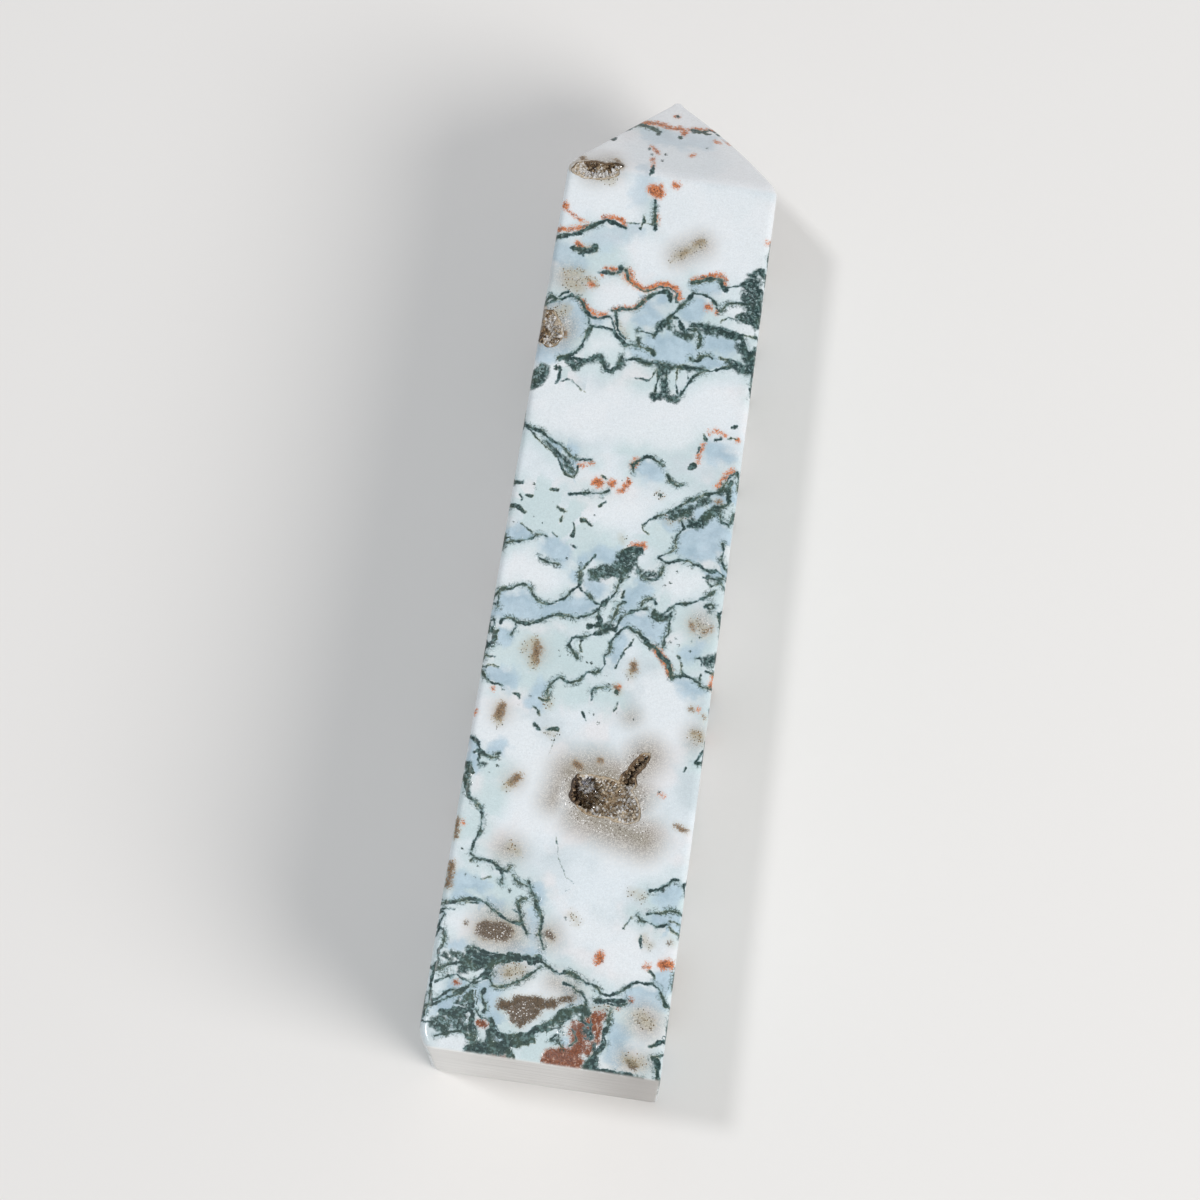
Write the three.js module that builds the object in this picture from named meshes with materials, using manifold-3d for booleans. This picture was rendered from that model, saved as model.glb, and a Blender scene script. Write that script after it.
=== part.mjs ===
// A tree agate tower: one cut and polished piece of white and green moss-patterned chalcedony.
// It is a slightly tapering square column with a four-sided point, lying on one long face.
// Millimetres. +Y runs from the sawn end to the point, +X to the right, +Z up.
import * as THREE from "three";
import { mergeVertices } from "three/addons/utils/BufferGeometryUtils.js";
import Module from "manifold-3d";

// The column and its point
const baseWidth = 32.9;
const shoulderWidth = 29.5;
const columnLength = 125.5;
const tipLength = 15.6;
const apexShift = -1.3;
const edgeRadius = 0.9;
const sawnEdge = 0.5;
const shoulderSoftness = 0.7;
const shoulderInset = 0.22;
const facetCrown = 0.5;
const crownUpShare = 0.6;
const tipNarrowing = 0.99;
const tipEdgeSharpening = 0.5;
const tipShares = [0.06, 0.2, 0.4, 0.6, 0.8, 0.93];
const bluntTip = { share: 0.975, half: 0.72, radius: 0.4 };
const cornerSteps = 4;

// The crystal lining of the hollows
const liningGap = 0.3;
const liningThickness = 0.8;
const liningBelowFace = 0.15;
const wallRoughness = 0.05;
const smallestLobe = 0.2;
const crystalRootDepth = 0.4;
const crystalPointSteepness = 1.4;
const crystalLean = 0.7;

// Hollows in the upper face. Each lobe is an ellipsoid: x across the face, y from the sawn end,
// depth below the polished surface, its half sizes, and its turn on the face in degrees.
const mainVug = {
  name: "main_vug_crystals",
  lobes: [
    { x: 3.5, y: 36.8, depth: 0.3, half: [4.8, 2.9, 2.4], turn: -4 },
    { x: 0.8, y: 37.0, depth: 1.9, half: [2.7, 2.9, 3.0], turn: 8 },
    { x: 6.1, y: 35.5, depth: 0.2, half: [2.5, 1.8, 1.5], turn: -10 },
    { x: 7.3, y: 41.8, depth: 0.5, half: [2.5, 0.9, 1.8], turn: 58 },
    { x: 6.3, y: 39.5, depth: 0.5, half: [1.3, 1.6, 1.8], turn: 0 },
  ],
  wallDetail: 3,
  crystals: 64,
  crystalWidth: [0.7, 1.5],
  crystalLength: [1.0, 2.4],
};
const shoulderPocket = {
  name: "shoulder_pocket_crystals",
  lobes: [
    { x: -10.9, y: 124.9, depth: 0.1, half: [3.4, 1.7, 1.5], turn: 4 },
    { x: -8.6, y: 125.6, depth: 0.2, half: [1.7, 1.1, 1.4], turn: 30 },
  ],
  wallDetail: 2,
  crystals: 26,
  crystalWidth: [0.5, 0.9],
  crystalLength: [0.6, 1.2],
};
const edgePocket = {
  name: "edge_pocket_crystals",
  lobes: [{ x: -13.9, y: 101.0, depth: 0.3, half: [2.0, 2.9, 1.6], turn: 20 }],
  wallDetail: 2,
  crystals: 24,
  crystalWidth: [0.5, 0.9],
  crystalLength: [0.6, 1.1],
};

const halfTaper = Math.atan((baseWidth - shoulderWidth) / 2 / columnLength);

const wasm = await Module();
wasm.setup();

// A repeatable random number between 0 and 1
let seed = 7;
function random() {
  seed = (seed * 16807) % 2147483647;
  return seed / 2147483647;
}

function between([low, high]) {
  return low + (high - low) * random();
}

function solidOf(geometry) {
  const bare = geometry.clone();
  bare.deleteAttribute("normal");
  bare.deleteAttribute("uv");
  const merged = mergeVertices(bare, 1e-4);
  return new wasm.Manifold(
    new wasm.Mesh({
      numProp: 3,
      vertProperties: new Float32Array(merged.attributes.position.array),
      triVerts: new Uint32Array(merged.index.array),
    }),
  );
}

function geometryOf(solid) {
  const mesh = solid.getMesh();
  const positions = new Float32Array(mesh.numVert * 3);
  for (let i = 0; i < mesh.numVert; i++) {
    const start = i * mesh.numProp;
    positions.set(mesh.vertProperties.subarray(start, start + 3), i * 3);
  }
  const geometry = new THREE.BufferGeometry();
  geometry.setAttribute("position", new THREE.BufferAttribute(positions, 3));
  geometry.setIndex(new THREE.BufferAttribute(new Uint32Array(mesh.triVerts), 1));
  geometry.computeVertexNormals();
  return geometry;
}

// Half of the column's width at a distance from the sawn end
function columnHalf(y) {
  return baseWidth / 2 - y * Math.tan(halfTaper);
}

// One round of the outline: a square of the given half widths with softened corners
function section(y, centreX, halfX, halfZ, radius) {
  const points = [];
  for (let corner = 0; corner < 4; corner++) {
    const signX = corner === 0 || corner === 3 ? 1 : -1;
    const signZ = corner < 2 ? 1 : -1;
    for (let step = 0; step <= cornerSteps; step++) {
      const angle = (corner + step / cornerSteps) * (Math.PI / 2);
      points.push(
        new THREE.Vector3(
          centreX + signX * (halfX - radius) + radius * Math.cos(angle),
          y,
          signZ * (halfZ - radius) + radius * Math.sin(angle),
        ),
      );
    }
  }
  return points;
}

// The rounds from the sawn end to the blunt point
function towerSections() {
  const rounds = [];
  const add = (y, centreX, half, crown, radius) =>
    rounds.push(section(y, centreX, half + crown, half + crown * crownUpShare, radius));
  add(0, 0, columnHalf(0) - sawnEdge, 0, edgeRadius);
  add(sawnEdge, 0, columnHalf(sawnEdge), 0, edgeRadius);
  const softStart = columnLength - shoulderSoftness;
  for (let part = 1; part <= 4; part++) {
    const y = sawnEdge + ((softStart - sawnEdge) * part) / 4;
    add(y, 0, columnHalf(y), 0, edgeRadius);
  }
  add(columnLength, 0, columnHalf(columnLength) - shoulderInset, 0, edgeRadius);
  for (const share of tipShares) {
    const crown = facetCrown * 4 * share * (1 - share);
    const half = (shoulderWidth / 2) * (1 - share * tipNarrowing);
    const radius = edgeRadius * (1 - tipEdgeSharpening * share);
    add(columnLength + tipLength * share, apexShift * share + crown, half, crown, radius);
  }
  const tipEnd = columnLength + tipLength * bluntTip.share;
  add(tipEnd, apexShift, bluntTip.half, 0, bluntTip.radius);
  return rounds;
}

function towerBlank() {
  const rounds = towerSections();
  const around = rounds[0].length;
  const positions = rounds.flat().flatMap((p) => [p.x, p.y, p.z]);
  const faces = [];
  for (let round = 0; round < rounds.length - 1; round++) {
    for (let i = 0; i < around; i++) {
      const a = round * around + i;
      const b = round * around + ((i + 1) % around);
      faces.push(a, a + around, b);
      faces.push(b, a + around, b + around);
    }
  }
  const sawnCentre = positions.length / 3;
  positions.push(0, 0, 0);
  const apex = sawnCentre + 1;
  positions.push(apexShift, columnLength + tipLength, 0);
  const last = (rounds.length - 1) * around;
  for (let i = 0; i < around; i++) {
    const next = (i + 1) % around;
    faces.push(sawnCentre, i, next);
    faces.push(apex, last + next, last + i);
  }
  const geometry = new THREE.BufferGeometry();
  geometry.setAttribute("position", new THREE.Float32BufferAttribute(positions, 3));
  geometry.setIndex(faces);
  return solidOf(geometry);
}

// Height of the polished upper surface, on the column and on the upper facet of the point
function upperSurface(y) {
  if (y < columnLength) return columnHalf(y);
  return (shoulderWidth / 2) * (1 - (y - columnLength) / tipLength);
}

function lobeMatrix(lobe, inset) {
  const centre = new THREE.Vector3(lobe.x, lobe.y, upperSurface(lobe.y) - lobe.depth);
  const turn = new THREE.Quaternion().setFromAxisAngle(
    new THREE.Vector3(0, 0, 1),
    THREE.MathUtils.degToRad(lobe.turn),
  );
  const size = new THREE.Vector3(...lobe.half.map((half) => Math.max(half - inset, smallestLobe)));
  return new THREE.Matrix4().compose(centre, turn, size);
}

// A lobe of a hollow: an ellipsoid with an uneven, faceted wall
function lobeSolid(lobe, inset, wallDetail) {
  const ball = new THREE.IcosahedronGeometry(1, wallDetail);
  const position = ball.getAttribute("position");
  const point = new THREE.Vector3();
  for (let i = 0; i < position.count; i++) {
    point.fromBufferAttribute(position, i);
    const swell =
      Math.sin(5.1 * point.x + 2.3 * point.z) * Math.cos(4.3 * point.y - 1.7 * point.x);
    point.multiplyScalar(1 + wallRoughness * swell);
    position.setXYZ(i, point.x, point.y, point.z);
  }
  ball.applyMatrix4(lobeMatrix(lobe, inset));
  return solidOf(ball);
}

function hollowSolid(hollow, inset) {
  return hollow.lobes
    .map((lobe) => lobeSolid(lobe, inset, hollow.wallDetail))
    .reduce((all, lobe) => all.add(lobe));
}

// A quartz crystal: a six-sided prism with a pointed end, its root at the origin, along +Y
function crystalGeometry(width, length) {
  const radius = width / 2;
  const profile = [
    new THREE.Vector2(0, -radius),
    new THREE.Vector2(radius, -radius),
    new THREE.Vector2(radius, length - radius * crystalPointSteepness),
    new THREE.Vector2(0, length),
  ];
  return new THREE.LatheGeometry(profile, 6);
}

function insideLobe(point, lobe, inset) {
  const local = point.clone().applyMatrix4(lobeMatrix(lobe, inset).invert());
  return local.length() < 1;
}

// Crystals standing on the wall of a hollow, pointing inwards
function crystalSolids(hollow) {
  const rooted = liningGap + liningThickness * 0.5;
  const solids = [];
  for (let tries = 0; solids.length < hollow.crystals && tries < 40 * hollow.crystals; tries++) {
    const lobe = hollow.lobes[Math.floor(random() * hollow.lobes.length)];
    const turn = random() * 2 * Math.PI;
    const down = -random();
    const level = Math.sqrt(1 - down * down);
    const direction = new THREE.Vector3(level * Math.cos(turn), level * Math.sin(turn), down);
    const root = direction.clone().applyMatrix4(lobeMatrix(lobe, rooted));
    const buried = hollow.lobes.some((other) => other !== lobe && insideLobe(root, other, rooted));
    if (buried || root.z > upperSurface(root.y) - crystalRootDepth) continue;
    const centre = new THREE.Vector3().applyMatrix4(lobeMatrix(lobe, rooted));
    const inward = centre.sub(root).normalize();
    const sway = new THREE.Vector3(random() - 0.5, random() - 0.5, random());
    inward.add(sway.multiplyScalar(crystalLean));
    const lean = new THREE.Quaternion().setFromUnitVectors(
      new THREE.Vector3(0, 1, 0),
      inward.normalize(),
    );
    const geometry = crystalGeometry(between(hollow.crystalWidth), between(hollow.crystalLength));
    geometry.rotateY(random() * Math.PI);
    geometry.applyQuaternion(lean);
    geometry.translate(root.x, root.y, root.z);
    solids.push(solidOf(geometry));
  }
  return solids;
}

// The crystal lining of a hollow, one crust clear of the stone by the lining gap
function crustSolid(hollow, blank) {
  const outer = hollowSolid(hollow, liningGap);
  const shell = outer.subtract(hollowSolid(hollow, liningGap + liningThickness));
  const grown = crystalSolids(hollow).reduce((all, crystal) => all.add(crystal), shell);
  const below = blank.translate([0, 0, -liningBelowFace]);
  const bodies = grown.intersect(outer).intersect(below).decompose();
  return bodies.reduce((largest, body) => (body.volume() > largest.volume() ? body : largest));
}

function namedMesh(name, solid, material) {
  const mesh = new THREE.Mesh(geometryOf(solid), material);
  mesh.name = name;
  return mesh;
}

const polishedAgate = new THREE.MeshStandardMaterial({
  color: 0xdce4e8,
  roughness: 0.12,
  metalness: 0,
});
const quartzDruse = new THREE.MeshStandardMaterial({
  color: 0xa89a86,
  roughness: 0.2,
  metalness: 0,
  flatShading: true,
});

const hollows = [mainVug, shoulderPocket, edgePocket];
const blank = towerBlank();
const stone = hollows.reduce((left, hollow) => left.subtract(hollowSolid(hollow, 0)), blank);

// The column leans by half its taper, so that its lower face lies level
const leaning = new THREE.Group();
leaning.rotation.x = -halfTaper;
leaning.add(namedMesh("agate_tower", stone, polishedAgate));
for (const hollow of hollows) {
  leaning.add(namedMesh(hollow.name, crustSolid(hollow, blank), quartzDruse));
}

// The origin is under the middle of the tower
const tower = new THREE.Group();
tower.add(leaning);
tower.updateMatrixWorld(true);
const extent = new THREE.Box3().setFromObject(leaning, true);
leaning.position.set(0, -(extent.min.y + extent.max.y) / 2, -extent.min.z);

export default tower;
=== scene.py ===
import math
import bmesh
import bpy
import numpy as np
from mathutils import Matrix, Vector


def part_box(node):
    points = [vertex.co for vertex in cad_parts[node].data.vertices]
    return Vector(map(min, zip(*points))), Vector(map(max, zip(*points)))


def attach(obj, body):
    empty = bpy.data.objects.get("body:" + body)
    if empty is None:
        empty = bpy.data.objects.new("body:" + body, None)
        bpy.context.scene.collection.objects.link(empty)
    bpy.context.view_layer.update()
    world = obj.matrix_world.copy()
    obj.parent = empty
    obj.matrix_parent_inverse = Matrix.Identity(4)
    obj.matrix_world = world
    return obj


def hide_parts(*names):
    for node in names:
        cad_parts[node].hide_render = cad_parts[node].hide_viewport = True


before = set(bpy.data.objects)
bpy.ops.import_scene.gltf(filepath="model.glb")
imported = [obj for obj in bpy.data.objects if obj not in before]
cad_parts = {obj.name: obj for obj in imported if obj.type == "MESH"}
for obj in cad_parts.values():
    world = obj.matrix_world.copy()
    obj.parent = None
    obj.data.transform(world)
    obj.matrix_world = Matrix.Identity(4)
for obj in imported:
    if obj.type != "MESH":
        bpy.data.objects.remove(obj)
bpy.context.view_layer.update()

# The stone: one piece of white and moss-green chalcedony, sawn square with a slight taper, ground
# to a four-sided point and polished on every side but the sawn end. Sizes are millimetres on the
# stone: across, along from the sawn end, and up from the middle of the column.
MM = 0.001
base_width = 32.9
shoulder_width = 29.5
column_length = 125.5
tip_length = 15.6
apex_shift = -1.3
edge_radius = 0.9
sawn_edge = 0.5
worn_corner = 1.3
worn_reach = 3.0
shoulder_softness = 0.7
shoulder_inset = 0.22
shoulder_curve = 1.6
shoulder_settle = 0.05
facet_crown = 0.5
crown_up_share = 0.3
tip_narrowing = 0.99
tip_edge_sharpening = 0.5
blunt_share = 0.955
blunt_rings = ((0.62, 0.42), (0.28, 0.56))
blunt_rise = 0.6

top_steps = 88
side_steps = 38
bottom_steps = 24
corner_steps = 5
ring_spacing = 0.36
cap_rings = 8
sawn_edge_stops = (0.03, 0.12, 0.27)
shoulder_stops = (0.4, 0.15)

half_taper = math.atan((base_width - shoulder_width) / 2 / column_length)
stone_low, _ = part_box("agate_tower")


def column_half(along):
    return base_width / 2 - along * math.tan(half_taper)


def ring_sizes(along):
    """Centre across, half width, half height and corner radius of the outline there."""
    half = column_half(along)
    worn = worn_corner / 2 * max(0.0, 1 - along / worn_reach) ** 2
    if along < sawn_edge:
        inset = sawn_edge * (1 - math.sqrt(1 - (1 - along / sawn_edge) ** 2))
        return worn, half - inset - worn, half - inset, edge_radius
    if along < worn_reach:
        return worn, half - worn, half, edge_radius
    soft_start = column_length - shoulder_softness
    if along < soft_start:
        return 0.0, half, half, edge_radius
    if along < column_length:
        inset = shoulder_inset * ((along - soft_start) / shoulder_softness) ** shoulder_curve
        return 0.0, half - inset, half - inset, edge_radius
    share = (along - column_length) / tip_length
    crown = facet_crown * 4 * share * (1 - share)
    settled = shoulder_inset * max(0.0, 1 - share / shoulder_settle)
    half = shoulder_width / 2 * (1 - share * tip_narrowing) - settled
    radius = edge_radius * (1 - tip_edge_sharpening * share)
    return apex_shift * share + crown, half + crown, half + crown * crown_up_share, radius


def outline(centre, half_x, half_z, radius):
    """Points round the column, from the right edge over the top to the left, the bottom and back."""
    flats = (top_steps, side_steps, bottom_steps, side_steps)
    signs = ((1, 1), (-1, 1), (-1, -1), (1, -1))
    middles = [
        np.array([centre + sign_x * (half_x - radius), sign_z * (half_z - radius)])
        for sign_x, sign_z in signs
    ]
    points = []
    for corner in range(4):
        for step in range(corner_steps + 1):
            angle = (corner + step / corner_steps) * math.pi / 2
            points.append(middles[corner] + radius * np.array([math.cos(angle), math.sin(angle)]))
        start = points[-1]
        run = middles[(corner + 1) % 4] - middles[corner]
        for step in range(1, flats[corner]):
            points.append(start + run * step / flats[corner])
    return np.array(points)


def mesh_object(name, points, faces):
    mesh = bpy.data.meshes.new(name)
    mesh.from_pydata([tuple(point) for point in points], [], faces)
    thing = bpy.data.objects.new(name, mesh)
    bpy.context.scene.collection.objects.link(thing)
    return thing


def stone_rounds():
    """The rounds of the outline from the middle of the sawn end to the blunt point."""
    rounds = []

    def add(flat, along):
        rounds.append(np.column_stack([flat[:, 0], np.full(len(flat), along), flat[:, 1]]))

    sawn = outline(*ring_sizes(0.0))
    for ring in range(1, cap_rings):
        add(sawn * ring / cap_rings, 0.0)
    soft_start = column_length - shoulder_softness
    column_rings = round((soft_start - sawn_edge) / ring_spacing)
    stops = [0.0, *sawn_edge_stops]
    stops += list(np.linspace(sawn_edge, soft_start, column_rings + 1))
    stops += [column_length - back for back in shoulder_stops]
    tip_rings = round(tip_length * blunt_share / ring_spacing)
    stops += list(column_length + np.linspace(0, tip_length * blunt_share, tip_rings + 1))
    for along in stops:
        add(outline(*ring_sizes(along)), along)
    blunt = rounds[-1]
    blunt_centre = blunt.mean(axis=0)
    for share, rise in blunt_rings:
        rounds.append(blunt_centre + (blunt - blunt_centre) * share + np.array([0, rise, 0]))
    return rounds


def stone_blank():
    rounds = stone_rounds()
    around = len(rounds[0])
    points = [point for ring in rounds for point in ring]
    faces = []
    for ring in range(len(rounds) - 1):
        for i in range(around):
            a = ring * around + i
            b = ring * around + (i + 1) % around
            faces.append((a, a + around, b + around, b))
    sawn_centre = len(points)
    apex = sawn_centre + 1
    points.append(np.zeros(3))
    points.append(rounds[-1].mean(axis=0) + np.array([0, blunt_rise - blunt_rings[-1][1], 0]))
    last = (len(rounds) - 1) * around
    for i in range(around):
        after = (i + 1) % around
        faces.append((sawn_centre, i, after))
        faces.append((apex, last + after, last + i))
    return mesh_object("agate_stone", points, faces)


# The hollows in the upper face, as lobes: across, along, depth below the face, half sizes, and the
# turn on the face in degrees. The stone is cut by their lobes, and crystals line what is cut.
main_vug_lobes = (
    (3.5, 36.8, 0.3, (4.8, 2.9, 2.4), -4),
    (0.9, 37.3, 1.9, (2.8, 3.3, 3.0), 8),
    (6.2, 35.5, 0.2, (2.6, 2.0, 1.5), -10),
    (7.3, 41.8, 0.5, (2.6, 0.95, 1.9), 58),
    (6.3, 39.5, 0.5, (1.3, 1.6, 1.8), 0),
)
shoulder_pocket_lobes = (
    (-10.9, 124.9, 0.1, (3.4, 1.7, 1.5), 4),
    (-8.6, 125.6, 0.2, (1.7, 1.1, 1.4), 30),
)
edge_pocket_lobes = ((-13.9, 101.0, 0.3, (2.0, 2.9, 1.6), 20),)
lobe_roughness = 0.06
lobe_waves = (5.1, 2.3, 4.3, 1.7)
least_lobe = 0.2
lobe_rounding = 5
wall_voxel = 0.16
wall_grain = 0.2
wall_grain_size = 0.9


def upper_surface(along):
    if along < column_length:
        return column_half(along)
    return shoulder_width / 2 * (1 - (along - column_length) / tip_length)


def built_object(name, build):
    """Turns a finished bmesh into an object of the scene."""
    mesh = bpy.data.meshes.new(name)
    build.to_mesh(mesh)
    build.free()
    thing = bpy.data.objects.new(name, mesh)
    bpy.context.scene.collection.objects.link(thing)
    return thing


def apply_modifiers(thing):
    """Leaves the mesh as its modifiers shape it, with no modifier on the piece."""
    seen = thing.evaluated_get(bpy.context.evaluated_depsgraph_get())
    finished = bpy.data.meshes.new_from_object(seen)
    thing.modifiers.clear()
    thing.data = finished


def hollow_form(name, lobes, inset):
    """The lobes of a hollow as one closed lump with an uneven wall, smaller by the inset."""
    wave_x, wave_z, wave_y, wave_skew = lobe_waves
    build = bmesh.new()
    for across, along, depth, half, turn in lobes:
        centre = Vector((across, along, upper_surface(along) - depth))
        size = [max(side - inset, least_lobe) for side in half]
        place = Matrix.Translation(centre) @ Matrix.Rotation(math.radians(turn), 4, "Z")
        place = place @ Matrix.Diagonal((*size, 1))
        made = bmesh.ops.create_icosphere(build, subdivisions=lobe_rounding, radius=1)
        for vert in made["verts"]:
            x, y, z = vert.co
            swell = math.sin(wave_x * x + wave_z * z) * math.cos(wave_y * y - wave_skew * x)
            vert.co = place @ (vert.co * (1 + lobe_roughness * swell))
    form = built_object(name, build)
    remesh = form.modifiers.new("one_lump", "REMESH")
    remesh.mode = "VOXEL"
    remesh.voxel_size = wall_voxel
    wall_noise = bpy.data.textures.new("wall_grain", "CLOUDS")
    wall_noise.noise_scale = wall_grain_size
    wall_noise.noise_depth = 2
    rough = form.modifiers.new("rough_wall", "DISPLACE")
    rough.texture = wall_noise
    rough.strength = wall_grain * 2
    rough.mid_level = 0.5
    apply_modifiers(form)
    return form


def combine(thing, other, operation):
    cut = thing.modifiers.new(operation.lower(), "BOOLEAN")
    cut.operation = operation
    cut.solver = "EXACT"
    cut.object = other
    apply_modifiers(thing)
    bpy.data.objects.remove(other)


stone = stone_blank()
blank_points = np.array([tuple(vert.co) for vert in stone.data.vertices])
lean = np.array(Matrix.Rotation(-half_taper, 3, "X"))
leaning_low = (blank_points @ lean.T).min(axis=0)
stone_shift = np.array([0, stone_low[1] / MM - leaning_low[1], stone_low[2] / MM - leaning_low[2]])

for hollow_lobes in (main_vug_lobes, shoulder_pocket_lobes, edge_pocket_lobes):
    combine(stone, hollow_form("hollow_cutter", hollow_lobes, 0.0), "DIFFERENCE")


def place_in_frame(thing):
    """From millimetres on the stone to metres in the frame, where the column leans by its taper."""
    mesh = thing.data
    flat = np.empty(len(mesh.vertices) * 3)
    mesh.vertices.foreach_get("co", flat)
    placed = (flat.reshape(-1, 3) @ lean.T + stone_shift) * MM
    mesh.vertices.foreach_set("co", placed.ravel())
    mesh.update()


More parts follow.
